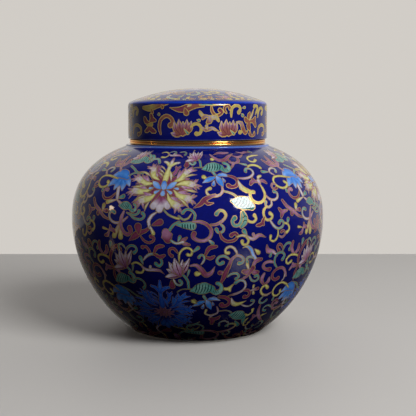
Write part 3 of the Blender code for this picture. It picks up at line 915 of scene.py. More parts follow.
def plain_rows(sheet, rows, half_width, columns, picture, colour_of, finish_of=all_glaze):
    """Rows of plain faces between the lengths in rows. picture is the two ends of their place on a bake."""
    across = np.linspace(-half_width, half_width, columns + 1)
    levels = np.linspace(*picture, len(rows))
    faces, finishes, colours, maps = [], [], [], []
    for r in range(len(rows) - 1):
        low, high = (*colour_of(rows[r]), 1), (*colour_of(rows[r + 1]), 1)
        for c in range(columns):
            first = r * (columns + 1) + c
            faces.append((first, first + 1, first + columns + 2, first + columns + 1))
            finishes.append(finish_of(rows[r], rows[r + 1]))
            colours.append((low, low, high, high))
            left, right, floor, top = c / columns, (c + 1) / columns, levels[r], levels[r + 1]
            maps.append(((left, floor), (right, floor), (right, top), (left, top)))
    sheet.add([(x, s, 0) for s in rows for x in across], faces, finishes, colours, maps)


class Tree:
    """Adds nodes to a node tree: each by its type, its settings and its sockets' values or links."""

    def __init__(self, tree):
        self.tree = tree

    def node(self, kind, settings=None, **sockets):
        """A new node. A socket is named by its own name, or by n and its number."""
        made = self.tree.nodes.new(kind)
        for name, value in (settings or {}).items():
            setattr(made, name, value)
        for name, value in sockets.items():
            key = int(name[1:]) if name[0] == "n" and name[1:].isdigit() else name.replace("_", " ")
            self.put(made.inputs[key], value)
        return made

    def put(self, socket, value):
        """Links a socket to a value, or sets it to a plain one."""
        if isinstance(value, Value):
            value = value.socket
        if isinstance(value, bpy.types.NodeSocket):
            self.tree.links.new(value, socket)
        else:
            socket.default_value = value

    def value(self, made, output=0):
        """A node's output, or a socket, as a value that sums can be done with."""
        return Value(self, made if isinstance(made, bpy.types.NodeSocket) else made.outputs[output])

    def maths(self, operation, *values):
        sockets = {f"n{number}": value for number, value in enumerate(values)}
        return self.value(self.node("ShaderNodeMath", {"operation": operation}, **sockets))


class Value:
    """A number on a socket. Sums with it add the Math nodes they need."""

    def __init__(self, tree, socket):
        self.tree, self.socket = tree, socket

    def __add__(self, other):
        return self.tree.maths("ADD", self, other)

    def __radd__(self, other):
        return self.tree.maths("ADD", other, self)

    def __sub__(self, other):
        return self.tree.maths("SUBTRACT", self, other)

    def __rsub__(self, other):
        return self.tree.maths("SUBTRACT", other, self)

    def __mul__(self, other):
        return self.tree.maths("MULTIPLY", self, other)

    def __rmul__(self, other):
        return self.tree.maths("MULTIPLY", other, self)

    def __truediv__(self, other):
        return self.tree.maths("DIVIDE", self, other)

    def __rtruediv__(self, other):
        return self.tree.maths("DIVIDE", other, self)


def turning_tree():
    """Lays flat sheets on a turned outline and repeats the strips among them round its axis.

    A strip's length up the sheet is its length on the outline. A disc's centre is the outline's last point.
    """
    made = bpy.data.node_groups.new("Laid on a turned outline", "GeometryNodeTree")
    inputs = {
        "Sheet": "Geometry",
        "Outline": "Object",
        "Length of the outline": "Float",
        "Radius of the sheet": "Float",
        "Copies round the axis": "Int",
        **dict.fromkeys(FINISHES, "Material"),
    }
    for name, kind in inputs.items():
        made.interface.new_socket(name, in_out="INPUT", socket_type="NodeSocket" + kind)
    made.interface.new_socket("Turned piece", in_out="OUTPUT", socket_type="NodeSocketGeometry")
    tree = Tree(made)
    given = tree.node("NodeGroupInput").outputs
    outline = tree.node("GeometryNodeObjectInfo", None, Object=given["Outline"])
    disc_mark = tree.node("GeometryNodeInputNamedAttribute", {"data_type": "BOOLEAN"}, Name="on disc")
    on_disc = disc_mark.outputs["Attribute"]
    place = tree.node("ShaderNodeSeparateXYZ", None, n0=tree.node("GeometryNodeInputPosition").outputs[0])
    x, y = tree.value(place, "X"), tree.value(place, "Y")
    from_centre = tree.value(given["Length of the outline"]) - tree.maths("SQRT", x * x + y * y)
    as_number = {"input_type": "FLOAT"}
    length = tree.node("GeometryNodeSwitch", as_number, Switch=on_disc, n1=y, n2=from_centre)
    on_strip, round_disc = x / given["Radius of the sheet"], tree.maths("ARCTAN2", x, y * -1.0)
    turn = tree.node("GeometryNodeSwitch", as_number, Switch=on_disc, n1=on_strip, n2=round_disc)
    found = tree.node(
        "GeometryNodeSampleCurve",
        {"mode": "LENGTH", "use_all_curves": True},
        Curves=outline.outputs["Geometry"],
        Length=length.outputs[0],
    )
    on_line = tree.node("ShaderNodeSeparateXYZ", None, n0=found.outputs["Position"])
    radius, angle = tree.value(on_line, "X"), tree.value(turn)
    where = tree.node(
        "ShaderNodeCombineXYZ",
        None,
        X=radius * tree.maths("SINE", angle),
        Y=radius * tree.maths("COSINE", angle) * -1.0,
        Z=tree.value(on_line, "Z"),
    )
    laid = tree.node("GeometryNodeSetPosition", None, Geometry=given["Sheet"], Position=where.outputs[0])
    parted = tree.node(
        "GeometryNodeSeparateGeometry", {"domain": "POINT"}, Geometry=laid.outputs[0], Selection=on_disc
    )
    one = tree.node("GeometryNodeGeometryToInstance", None, Geometry=parted.outputs["Inverted"]).outputs[0]
    amount = given["Copies round the axis"]
    copies = tree.node("GeometryNodeDuplicateElements", {"domain": "INSTANCE"}, Geometry=one, Amount=amount)
    share = tree.value(copies, "Duplicate Index") * (2 * math.pi) / amount
    turn = tree.node("ShaderNodeCombineXYZ", None, Z=share).outputs[0]
    strips = copies.outputs["Geometry"]
    turned = tree.node("GeometryNodeRotateInstances", None, Instances=strips, Rotation=turn)
    both = tree.node("GeometryNodeJoinGeometry")
    made.links.new(turned.outputs[0], both.inputs[0])
    made.links.new(parted.outputs["Selection"], both.inputs[0])
    real = tree.node("GeometryNodeRealizeInstances", None, Geometry=both.outputs[0])
    last = tree.node("GeometryNodeMergeByDistance", None, Geometry=real.outputs[0], Distance=MERGE_WITHIN)
    last = last.outputs[0]
    marked = tree.node("GeometryNodeInputNamedAttribute", {"data_type": "INT"}, Name="finish")
    equal = {"data_type": "INT", "operation": "EQUAL"}
    for number, name in enumerate(FINISHES):
        chosen = tree.node("FunctionNodeCompare", equal, n2=marked.outputs["Attribute"], n3=number).outputs[0]
        given_finish = {"Geometry": last, "Selection": chosen, "Material": given[name]}
        last = tree.node("GeometryNodeSetMaterial", None, **given_finish).outputs[0]
    tree.node("NodeGroupOutput", None, n0=last)
    return made


def turned_piece(name, flat, line, radius, copies, materials):
    """Runs the tree on a flat sheet and returns the turned piece as a plain mesh of its own."""
    data = bpy.data.curves.new(name + " outline", "CURVE")
    data.dimensions = "3D"
    spline = data.splines.new("POLY")
    spline.points.add(len(line) - 1)
    spline.points.foreach_set("co", [x for r, z in line for x in (r, 0, z, 1)])
    outline = in_scene(name + " outline", data)
    modifier = flat.modifiers.new("Turning", "NODES")
    modifier.node_group = turning
    names = {s.name: s.identifier for s in turning.interface.items_tree if s.in_out == "INPUT"}
    modifier[names["Outline"]] = outline
    modifier[names["Length of the outline"]] = float(lengths_along(line)[-1])
    modifier[names["Radius of the sheet"]] = radius
    modifier[names["Copies round the axis"]] = copies
    for finish, material in zip(FINISHES, materials):
        modifier[names[finish]] = material
    ready = flat.evaluated_get(bpy.context.evaluated_depsgraph_get())
    mesh = bpy.data.meshes.new_from_object(ready)
    flat.modifiers.remove(modifier)
    bpy.data.objects.remove(flat)
    bpy.data.objects.remove(outline)
    for helper in ("on disc", "finish"):
        if helper in mesh.attributes:
            mesh.attributes.remove(mesh.attributes[helper])
    mesh.shade_smooth()
    mesh.set_sharp_from_angle(angle=SHARP_FROM)
    return in_scene(name, mesh)


def surface_noise(tree, scale, detail=3.0):
    """Fine unevenness on object coordinates, from 0 to 1."""
    where = tree.node("ShaderNodeTexCoord").outputs["Object"]
    return tree.value(tree.node("ShaderNodeTexNoise", None, Vector=where, Scale=scale, Detail=detail))


def mottled(tree, scale, one, other):
    """A colour that drifts unevenly from one to another."""
    share, ends = surface_noise(tree, scale), {"n6": (*one, 1), "n7": (*other, 1)}
    return tree.node("ShaderNodeMix", {"data_type": "RGBA"}, n0=share, **ends).outputs[2]


def new_material(name, roughness, metallic=0.0):
    """A material with its gloss set, and its tree and shader."""
    material = bpy.data.materials.new(name)
    material.use_nodes = True
    shader = material.node_tree.nodes["Principled BSDF"]
    shader.inputs["Roughness"].default_value = roughness
    shader.inputs["Metallic"].default_value = metallic
    return material, Tree(material.node_tree), shader.inputs


def glaze_material(name):
    """Glassy glaze and enamel in the colours painted on the faces, slightly wavy as on a hand-dipped pot."""
    material, tree, shader = new_material(name, GLAZE_ROUGHNESS)
    paint = tree.node("ShaderNodeVertexColor", {"layer_name": "paint"}).outputs["Color"]
    shade = surface_noise(tree, GLAZE_CLOUDS) * 0.5 + 0.75
    grey = tree.node("ShaderNodeCombineColor", None, Red=shade, Green=shade, Blue=shade).outputs[0]
    multiply = {"data_type": "RGBA", "blend_type": "MULTIPLY"}
    tree.put(shader["Base Color"], tree.node("ShaderNodeMix", multiply, n0=1.0, n6=paint, n7=grey).outputs[2])
    height = surface_noise(tree, GLAZE_WAVES, 2.0)
    wave = tree.node("ShaderNodeBump", None, Strength=0.25, Distance=0.4 * MM, Height=height)
    tree.put(shader["Normal"], wave.outputs[0])
    return material


def gilt_material(name, colour, metallic):
    """Fired gold, a little worn and uneven."""
    material, tree, shader = new_material(name, GOLD_ROUGHNESS, metallic)
    worn, bright = [c * 0.75 for c in colour], [min(1.0, c * 1.25) for c in colour]
    tree.put(shader["Base Color"], mottled(tree, GOLD_WEAR, worn, bright))
    return material


def clay_material():
    """Bare fired porcelain clay, dry and slightly sandy."""
    material, tree, shader = new_material("bare clay", CLAY_ROUGHNESS)
    tree.put(shader["Base Color"], mottled(tree, CLAY_GRAIN, [c * 0.7 for c in BARE_CLAY], BARE_CLAY))
    return material


turning = turning_tree()

# The jar's wall
# One quarter of the wall is cut flat between the foot and the collar. The foot, the collar, the neck and the
# inside carry no pattern and join it as rows of faces. Painted shade darkens the cobalt ground towards the
# foot and just under the collar.
COPIES = 4
QUARTER = 2 * math.pi / COPIES * round(BELLY_RADIUS / MM)
JAR_ROWS = 37
MARGIN = 0.6
GOLD_METAL = 0.75
# painted shade on the cobalt ground: how much of its lightness is left at lengths in millimetres down the
# wall from the collar, least towards the foot and less just under the collar, where less light falls; the
# first of the two leaves it even
NO_PAINTED_SHADE = ((0, 100), (1, 1))
PAINTED_SHADE_DOWN_WALL = ((0, 20, 40, 70, 85, 110, 130, 160), (0.72, 0.9, 1, 0.95, 0.74, 0.56, 0.42, 0.38))


def strip_frame(half, columns, rows, start, length):
    """Points and edges that bound a strip: rows across at some lengths, and both sides."""
    across = np.linspace(-half, half, columns + 1)
    levels = (start, start + MARGIN, start + length - MARGIN, start + length)
    points = [(x, y) for y in levels for x in across]
    edges = [(r * (columns + 1) + c, r * (columns + 1) + c + 1) for r in range(4) for c in range(columns)]
    down = start + np.linspace(0, length, rows + 1)[1:-1]
    for side in (0, columns):
        chain = [side, columns + 1 + side]
        for y in down:
            chain.append(len(points))
            points.append((across[side], y))
        chain += [2 * (columns + 1) + side, 3 * (columns + 1) + side]
        edges += list(zip(chain, chain[1:]))
    return points, edges, down


def decorated_strip(sheet, cells, span, columns, rows, start, length, top, picture, painted_shade=NO_PAINTED_SHADE):
    """Adds one repeat of a patterned wall to a sheet. picture is the low and high end of its place on a bake.

    The last argument says how much of the cobalt ground's lightness is left at some places down the wall:
    painted shade, darker where less light falls.
    """
    half = span / 2
    moved = [
        (tuple({**part, "line": part["line"] + (shift * span, 0)} for part in parts), gold)
        for parts, gold in cells
        for shift in (-1, 0, 1)
    ]
    shapes = pattern_shapes(moved, lambda outline: outline[:, 0].max() > -half and outline[:, 0].min() < half)
    points, edges, down = strip_frame(half, columns, rows, start, length)
    fill = [(x, y) for y in down for x in np.linspace(-half, half, round(span / (length / rows)))[1:-1]]
    places, faces, labels = inlay(
        shapes,
        points,
        edges,
        lambda spots: (abs(spots[:, 0]) < half) & (spots[:, 1] > start) & (spots[:, 1] < start + length),
        lambda spots: (spots[:, 1] > start + MARGIN) & (spots[:, 1] < start + length - MARGIN),
        fill,
    )
    corners = places[faces]
    up = 1 - (corners[..., 1] - start) / length
    spots = np.stack([corners[..., 0] / span + 0.5, picture[0] + (picture[1] - picture[0]) * up], -1)
    colours = enamel_colours(shapes, labels, corners)
    # painted shade: the bare cobalt ground between the cells is darkened by its length down the wall
    bare = labels == GROUND
    colours[bare, :, :3] *= np.interp(corners[bare][..., 1], *painted_shade)[..., None]
    sheet.add(
        np.column_stack([places[:, 0] * MM, (top - places[:, 1]) * MM, np.zeros(len(places))]),
        faces[:, ::-1],
        np.where(labels == GILT, FINISH_GILT, FINISH_GLAZE),
        colours[:, ::-1],
        spots[:, ::-1],
    )


profile, wall_start, wall_end = jar_profile()
runs = lengths_along(profile) / MM
# the cove, the round edge and the end of the collar, in points of the outline past the wall's end
cove_top, collar_turn, collar_end = (runs[wall_end + past] * MM for past in (2, 5, 9))
jar_pattern()
sheet = Sheet()
decorated_strip(
    sheet,
    sheet_cells,
    span=QUARTER,
    columns=ROUND // COPIES,
    rows=JAR_ROWS,
    start=0,
    length=runs[wall_end] - runs[wall_start],
    top=runs[wall_end],
    picture=(0.12, 1.0),
    painted_shade=PAINTED_SHADE_DOWN_WALL,
)


def jar_finish(low, high):
    """Bare clay on the foot ring, glaze elsewhere."""
    return FINISH_CLAY if runs[1] * MM <= low and high <= runs[wall_start - 1] * MM else FINISH_GLAZE


def jar_colour(s):
    """Cobalt outside, thinner over the foot, paler over the collar where the glaze thins and a highlight is
    painted, and white inside and below.
    """
    if s <= runs[wall_start] * MM:
        return THIN_GLAZE if s > runs[wall_start - 2] * MM else WHITE_GLAZE
    if s < cove_top:
        return COBALT
    if s < collar_turn:
        return COLLAR_GLAZE_AND_HIGHLIGHT
    return NECK_GLAZE if s < collar_end else WHITE_GLAZE


half_sheet = QUARTER / 2 * MM
below, above = runs[: wall_start + 1] * MM, runs[wall_end:] * MM
plain_rows(sheet, below, half_sheet, ROUND // COPIES, (0.0, 0.03), jar_colour, jar_finish)
plain_rows(sheet, above, half_sheet, ROUND // COPIES, (0.04, 0.11), jar_colour, jar_finish)
glaze, clay = glaze_material("cobalt glaze and enamels"), clay_material()
finishes = (glaze, gilt_material("fired gold", GOLD, GOLD_METAL), clay)
jar_flat = sheet.as_object("jar sheet")
jar = turned_piece("jar_porcelain", jar_flat, profile, BELLY_RADIUS, COPIES, finishes)
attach(jar, "root")
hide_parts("jar")

# The lid
# A cap of the same porcelain with a low dome, glazed cobalt blue outside and white inside. It lifts off.
# Its enamels are warmer than the jar's, and their gold is thicker. The wall's pattern repeats three times.
LID_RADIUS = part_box("lid")[1][0]
LID_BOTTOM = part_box("lid")[0][2]
LID_WALL = 4 * MM
LID_WALL_HEIGHT = 25.6 * MM
LID_SHOULDER_ROUND = 4 * MM
LID_EDGE_ROUND = 1 * MM
DOME_RADIUS = 139 * MM
DOME_THICKNESS = 4 * MM
CEILING_ROUND = 2 * MM
LID_GOLD_LINE = 0.6
LID_PATTERN_RISE = 1.6
LID_GOLD = (0.70, 0.49, 0.11)
LID_GOLD_METAL = 0.25
# painted highlight: a lighter cobalt on the lid's rounded shoulder, for the light that it catches
PAINTED_HIGHLIGHT_COBALT = (0.008, 0.045, 0.50)
# partly painted highlight: the lid's lower edge is pale where the glaze thins, and lighter still for a soft
# highlight there
PALE_EDGE = (0.20, 0.22, 0.42)
LID_COPIES = 3
LID_ROWS = 7
LID_EDGE_STEPS = 6
LID_SHOULDER_STEPS = 8
DOME_STEPS = 60
TINTS.update(
    {
        "brick": ((0.25, 0.075, 0.05), (0.34, 0.12, 0.09)),
        "lilac": ((0.34, 0.24, 0.38), (0.52, 0.44, 0.56)),
        "straw": ((0.45, 0.35, 0.08), (0.58, 0.50, 0.16)),
    }
)


def lid_profile():
    """The outline from the ceiling's middle, down the inside, round the edge and up to the dome's pole."""
    wall_top = LID_BOTTOM + LID_WALL_HEIGHT
    reach = LID_RADIUS - LID_SHOULDER_ROUND
    tangent = math.degrees(math.acos(reach / (DOME_RADIUS - LID_SHOULDER_ROUND)))
    centre = wall_top - math.sqrt((DOME_RADIUS - LID_SHOULDER_ROUND) ** 2 - reach**2)
    ceiling = DOME_RADIUS - DOME_THICKNESS
    bore = LID_RADIUS - LID_WALL
    inner_reach = bore - CEILING_ROUND
    inner_tangent = math.degrees(math.acos(inner_reach / (ceiling - CEILING_ROUND)))
    inner_top = centre + math.sqrt((ceiling - CEILING_ROUND) ** 2 - inner_reach**2)
    line = [(0, centre + ceiling)] + arc((0, centre), ceiling, 90, inner_tangent, 8)[1:]
    line += arc((inner_reach, inner_top), CEILING_ROUND, inner_tangent, 0, 4)[1:]
    line += [(bore, LID_BOTTOM)]
    edge = LID_EDGE_ROUND
    line += arc((LID_RADIUS - edge, LID_BOTTOM + edge), edge, -90, 0, LID_EDGE_STEPS)
    wall_start = len(line) - 1
    line += arc((reach, wall_top), LID_SHOULDER_ROUND, 0, tangent, LID_SHOULDER_STEPS)
    dome_start = len(line) - 1
    line += arc((0, centre), DOME_RADIUS, tangent, 90, DOME_STEPS)[1:-1] + [(0, centre + DOME_RADIUS)]
    return line, wall_start, dome_start


def lid_lotus(across, down, turn=0.0, scale=1.0):
    """The lid's warmer lotus, upright like a tulip, brick red with pale tips."""
    at(across, down, turn, scale)
    spines = (
        [(-1, 5.4), (-5.4, 6), (-9.6, 5)],
        [(-1, 5.6), (-5.6, 2), (-7, -4)],
        [(1, 5.6), (5.2, 2), (7, -4.2)],
        [(-0.4, 6), (-2.6, 0), (-3, -5.6)],
        [(0.4, 6), (3, 0), (3.4, -5.4)],
        [(0, 6.4), (0.3, 1), (0.3, -4)],
    )
    cell(*(stroke("brick brick brick pink white", [3, 5.4, 4.8, 1], *spine) for spine in spines))
    for spine in spines:
        vein("rose", [0.3, 0.7, 0.2], *((0.92 * x, y + 0.6) for x, y in spine))
    at(0, 0)


def lid_wall_pattern():
    """One third of the lid's wall. Down is measured from the dome's pole."""
    band("straw straw brick brick", [3, 5, 4.6, 3.4, 0.8], (-45.6, 61.6), (-39, 62), (-31, 60), (-22, 58.8))
    drop("rose brick", 3, (-28, 59.4), (-26.4, 62.6))
    drop("brick", 3, (-37.5, 62), (-35.6, 66.4))
    fleur("brick rose", (-39, 73), (-44.5, 69, 4), (-37.6, 66.4, 4), (-33.4, 71, 4), (-33.6, 79.6, 4.4),
          (-43.4, 79.4, 4))
    drop("straw", 3.4, (-42, 74.6), (-35.4, 73.6))
    drop("mint green", 2.8, (-31.4, 66.8), (-28.8, 66.2))
    scroll("rose brick brick", 3, (-28.6, 81), (-29.8, 76), (-28.4, 70.5), (-24, 67.6), (-20, 69.2),
           (-18.6, 72.6), (-20.6, 74.6))
    band("brick rose brick brick", [0.6, 4, 6, 4.4, 1.4], (-21, 61.6), (-14, 63), (-8, 62), (-2, 60.2),
         (4.8, 60.6))
    drop("rose brick", 4.4, (-9.4, 62), (-7.6, 67.6))
    drop("white straw", 2.8, (-7.4, 61), (-4.4, 58.4))
    lid_lotus(-11, 75.6, 0, 0.93)
    drop("mint green", 2.6, (-10, 77), (-6.4, 81.4))
    scroll("straw", 2.4, (-5, 75.6), (-2, 73.4), (1.4, 74.2), (2.8, 77.4), (1.6, 80.4), (-0.8, 80.6))
    drop("mint green", 2.8, (-0.4, 70.6), (2.4, 71.4))
    band("green mint green", [1.4, 2.6, 1.4], (1.6, 59.8), (7, 58.9), (12.6, 59.8))
    band("white straw", [1.4, 2.2, 1.4], (13.4, 59.6), (18, 59), (22.6, 59.6))
    scroll("brick brick rose", 2.6, (10.3, 60.6), (10.6, 63.8), (12.8, 66.8), (16, 67), (18.5, 65),
           (16.8, 63.4))
    scroll("rose brick", 2.4, (22, 65.6), (20.4, 63.4), (20.8, 60.8), (23.4, 60), (25, 62.2))
    fleur("white straw", (8.6, 68), (1.4, 64.4, 3), (14.4, 67.4, 3.4), (16, 71.4, 3))
    fleur("lilac brick", (8.6, 68), (7.6, 72.6, 4.6), (3.6, 69.8, 3))
    scroll("straw", 2.4, (26, 68.4), (26, 63.6), (28, 60.6), (31.6, 60), (34, 62.2), (32.6, 65))
    drop("mint green", 2.4, (36, 61.8), (39.4, 61.2))
    drop("mint green", 3, (35.4, 66), (37, 68.6))
    lid_lotus(24.2, 75.8, 4, 0.93)
    drop("mint green", 2.6, (25, 78), (29, 81.8))
    band("lilac brick lilac brick", [1.6, 2.8, 3, 2.2, 0.6], (2.6, 75.6), (6, 78), (10.7, 76.6), (13, 77.6),
         (16, 79))
    drop("lilac", 2.6, (7.2, 77.6), (6.4, 73.8))
    band("lilac brick brick", [1.2, 3.4, 4, 3, 0.6], (30.6, 72.2), (34.8, 73), (36.6, 77.2), (39, 80.6),
         (42.4, 77.6))
    drop("straw", 3.6, (35.8, 79.4), (32, 80))
    scroll("straw", 2.4, (50.6, 66.4), (53.4, 62.8), (52, 60), (49.2, 60.6))
    fleur("brick", (44, 71.4), (38.6, 69.4, 4), (50.6, 69, 4), (51, 75.4, 4), (43.4, 77.8, 4.4),
          (43.6, 65.4, 3.6))
    band("white straw", [1.6, 2.2, 0.8], (43.6, 70.6), (46.4, 66.4), (48.4, 62.6))
    fleur("rose brick", (46.6, 83), (43.8, 79.4, 3), (49.4, 79.8, 3))
    scroll("straw", 2.4, (54, 68.6), (55, 64.4), (58.4, 61.6), (62, 63.2), (60.6, 66))
    scroll("brick straw brick", 2.5, (54, 81), (55.6, 76.4), (60.4, 74.6), (65.6, 76.4), (66, 80.4),
           (62.6, 81.6))


def dome_pattern():
    """The dome about its pole, with the viewer's side below: one open flower in a ring of smaller growth."""
    for turn in range(0, 360, 90):
        at(0, 0, turn)
        scroll("straw", 2.6, (3, 29.6), (8, 33), (14, 32.4), (16, 27.6), (12.6, 25.4), (10, 27.6))
        scroll("rose brick", 2.8, (-3, 31), (-8, 35), (-14, 35.6), (-17.6, 31.4), (-14.6, 27.6),
               (-11.6, 29.6))
        scroll("mint green", 2.4, (-1, 31), (1.4, 36), (-1.4, 40.4), (-6, 40.4), (-7, 37.4))
        drop("white yellow", 3.4, (5, 37), (11, 38.6))
        drop("mint green", 3, (15, 35.4), (20.4, 34.6))
        scroll("straw", 2.4, (24, 32.6), (27.6, 37.4), (33.6, 37), (34.6, 31.6), (31, 30.6))
        fleur("pink rose", (21, 38), (14.6, 41.6, 3.6), (25.4, 40, 3.4), (19.6, 45.6, 3.8))
        scroll("rose brick", 2.4, (5, 41.6), (1.4, 45.4), (4.4, 48.8), (9.6, 47.6), (9.4, 44.4))
        drop("mint green", 2.8, (-10.6, 40), (-14.6, 45.4))
        scroll("white mint green", 2.3, (-20, 36), (-23, 40.6), (-19.6, 45), (-14.6, 48.4))
        drop("straw", 3, (-6, 44.6), (-8.4, 49.4))
    for turn in range(0, 360, 24):
        at(0, 0, turn)
        drop("straw", 3, (1, 50.6), (7, 50))
        drop("rose brick", 3.4, (-1.6, 50.4), (-7, 49.4))
        if turn % 48:
            drop("mint green", 2.6, (10, 49), (12.6, 51.6))
        else:
            drop("white yellow", 2.8, (9.6, 50), (13, 48.6))
    for turn in (45, 135, 225, 315):
        way = math.radians(turn)
        lotus(36 * math.sin(way), 36 * math.cos(way), 180 - turn, 0.72)
    flower(0, 0, "yellow", "white", "pink", "mauve", "rose", "sky pale")


lid_line, lid_wall_start, dome_start = lid_profile()
lid_runs = lengths_along(lid_line) / MM
lid_length = lid_runs[-1]
dome_reach = lid_length - lid_runs[dome_start]
pattern_top = lid_wall_start + LID_SHOULDER_STEPS // 2
wall_top_run = lid_length - lid_runs[pattern_top]
wall_low_run = lid_length - lid_runs[lid_wall_start]
sheet_cells = []
lid_wall_pattern()
sheet_cells = [
    (tuple({**part, "line": part["line"] - (0, LID_PATTERN_RISE)} for part in parts), gold and LID_GOLD_LINE)
    for parts, gold in sheet_cells
]
THIRD = 2 * math.pi / LID_COPIES * LID_RADIUS / MM
lid_sheet = Sheet()
decorated_strip(
    lid_sheet,
    sheet_cells,
    span=THIRD,
    columns=ROUND // LID_COPIES,
    rows=LID_ROWS,
    start=wall_top_run,
    length=wall_low_run - wall_top_run,
    top=lid_length,
    picture=(0.02, 0.24),
)


def lid_colour(s):
    """White inside, pale over the lower edge where the glaze thins and a soft highlight is painted, and
    painted brightest over the wall's rounded top as a highlight.
    """
    if s < lid_runs[lid_wall_start - LID_EDGE_STEPS] * MM:
        return WHITE_GLAZE
    if s < lid_runs[lid_wall_start - 1] * MM:
        return PALE_EDGE
    if lid_runs[pattern_top - 1] * MM < s < lid_runs[dome_start - 1] * MM:
        return PAINTED_HIGHLIGHT_COBALT
    return COBALT


half_sheet = THIRD / 2 * MM
inside_rows, shoulder_rows = lid_runs[: lid_wall_start + 1] * MM, lid_runs[pattern_top : dome_start + 1] * MM
plain_rows(lid_sheet, inside_rows, half_sheet, ROUND // LID_COPIES, (0.25, 0.28), lid_colour)
plain_rows(lid_sheet, shoulder_rows, half_sheet, ROUND // LID_COPIES, (0.29, 0.31), lid_colour)

# The dome's disc
# The lid's top is one disc of the same porcelain, drawn in the same enamels about its pole.
# The disc is cut flat and laid on the dome, so its rim has the same points as the wall's top.
DOME_GOLD_LINE = 0.5
DOME_MARGIN = 1.2
DOME_FILL = 4
DOME_PLAIN_RIM = 3
DISC_CENTRE = (0.34, 0.65)
DISC_REACH = 0.33
sheet_cells = []
dome_pattern()
sheet_cells = [(parts, gold and DOME_GOLD_LINE) for parts, gold in sheet_cells]
dome_shapes = pattern_shapes(sheet_cells, lambda outline: np.hypot(*outline.T).min() < dome_reach)


def circle(radius, count):
    """Places spread evenly round the pole."""
    return [(radius * x, radius * y) for x, y in all_round(count)]


dome_edges = [(ring * ROUND + k, ring * ROUND + (k + 1) % ROUND) for ring in (0, 1) for k in range(ROUND)]
dome_fill = []
for radius in np.arange(DOME_FILL, dome_reach - DOME_PLAIN_RIM, DOME_FILL):
    dome_fill += circle(radius, round(radius * 1.5))
dome_fill.append((0, 0))
places, faces, labels = inlay(
    dome_shapes,
    circle(dome_reach, ROUND) + circle(dome_reach - DOME_MARGIN, ROUND),
    dome_edges,
    lambda spots: np.hypot(*spots.T) < dome_reach,
    lambda spots: np.hypot(*spots.T) < dome_reach - DOME_MARGIN - 0.1,
    dome_fill,
)
corners = places[faces]
picture = np.stack([corners[..., 0], -corners[..., 1]], -1) / dome_reach * DISC_REACH + DISC_CENTRE
lid_sheet.add(
    np.column_stack([places[:, 0] * MM, -places[:, 1] * MM, np.zeros(len(places))]),
    faces[:, ::-1],
    np.where(labels == GILT, FINISH_GILT, FINISH_GLAZE),
    enamel_colours(dome_shapes, labels, corners)[:, ::-1],
    picture[:, ::-1],
    disc=True,
)
lid_finishes = (glaze, gilt_material("thick fired gold", LID_GOLD, LID_GOLD_METAL), clay)
lid_flat = lid_sheet.as_object("lid sheet")
lid = turned_piece("lid_porcelain", lid_flat, lid_line, LID_RADIUS, LID_COPIES, lid_finishes)
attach(lid, "root")
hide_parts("lid")

# The brass ring
# A thin ring of two beads turned from brass and gilded. It lies on the jar's collar, under the lid's wall.
BEADS = 2
BEAD_RADIUS = 0.9 * MM
BEAD_STEPS = 14
BRASS_CLOUDS = 180
BRASS_RUBBING = 700
BRASS_POLISH = 0.14
BRASS_UNEVENNESS = 0.16
COPPER_CAST = (1.0, 0.42, 0.09)
PALE_GILDING = (1.0, 0.62, 0.19)
RING_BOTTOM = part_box("lid_rim_ring")[0][2]
RING_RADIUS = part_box("lid_rim_ring")[1][0]
RING_BORE = LID_RADIUS - LID_WALL


def brass_material():
    """Gilded brass with a warm copper cast, its polish a little uneven."""
    material, tree, shader = new_material("gilt brass", 0.2, 1.0)
    tree.put(shader["Base Color"], mottled(tree, BRASS_CLOUDS, COPPER_CAST, PALE_GILDING))
    tree.put(shader["Roughness"], surface_noise(tree, BRASS_RUBBING) * BRASS_UNEVENNESS + BRASS_POLISH)
    return material


ring_line = [(RING_BORE, RING_BOTTOM)]
for bead in range(BEADS):
    middle = RING_BOTTOM + BEAD_RADIUS * (2 * bead + 1)
    bulge = arc((RING_RADIUS - BEAD_RADIUS, middle), BEAD_RADIUS, -90, 90, BEAD_STEPS)
    ring_line += bulge[1:] if bead else bulge
ring_line += [(RING_BORE, RING_BOTTOM + 2 * BEADS * BEAD_RADIUS), (RING_BORE, RING_BOTTOM)]
ring_sheet = Sheet()
ring_runs = lengths_along(ring_line)
plain_rows(ring_sheet, ring_runs, math.pi * RING_RADIUS, ROUND * 2, (0.0, 1.0), lambda s: PALE_GILDING)
ring_finishes = (brass_material(),) * len(FINISHES)
ring_flat = ring_sheet.as_object("ring sheet")
ring = turned_piece("brass_ring", ring_flat, ring_line, RING_RADIUS, 1, ring_finishes)
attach(ring, "root")
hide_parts("lid_rim_ring")

# The table, the lights and the camera
# The jar stands on a plain pale table, whose far edge shows behind it. The glaze mirrors a dark table, so the
# pale one is kept out of reflections and of the light that bounces. A dark card just below it, which the
# camera doesn't see, takes its place there.
TABLE_EDGE = 362 * MM
TABLE_REACH = 3
CARD_DEPTH = 2 * MM


def table_top(name, height, finish, colour, roughness):
    """A level sheet as wide as the table."""
    left, right = -TABLE_REACH, TABLE_REACH
    corners = [(left, left), (right, left), (right, TABLE_EDGE), (left, TABLE_EDGE)]
    mesh = bpy.data.meshes.new(name)
    mesh.from_pydata([(*corner, height) for corner in corners], [], [(0, 1, 2, 3)])
    material, _, shader = new_material(finish, roughness)
    shader["Base Color"].default_value = (*colour, 1)
    mesh.materials.append(material)
    made = in_scene(name, mesh)
    return made


floor = table_top("floor", 0, "pale floor", (0.62, 0.605, 0.585), 0.6)
floor.visible_glossy = False
floor.visible_diffuse = False
card = table_top("dark card", -CARD_DEPTH, "dark wood tone", (0.07, 0.042, 0.034), 0.2)
card.visible_camera = False
card.visible_shadow = False


AIM_HEIGHT = 100 * MM


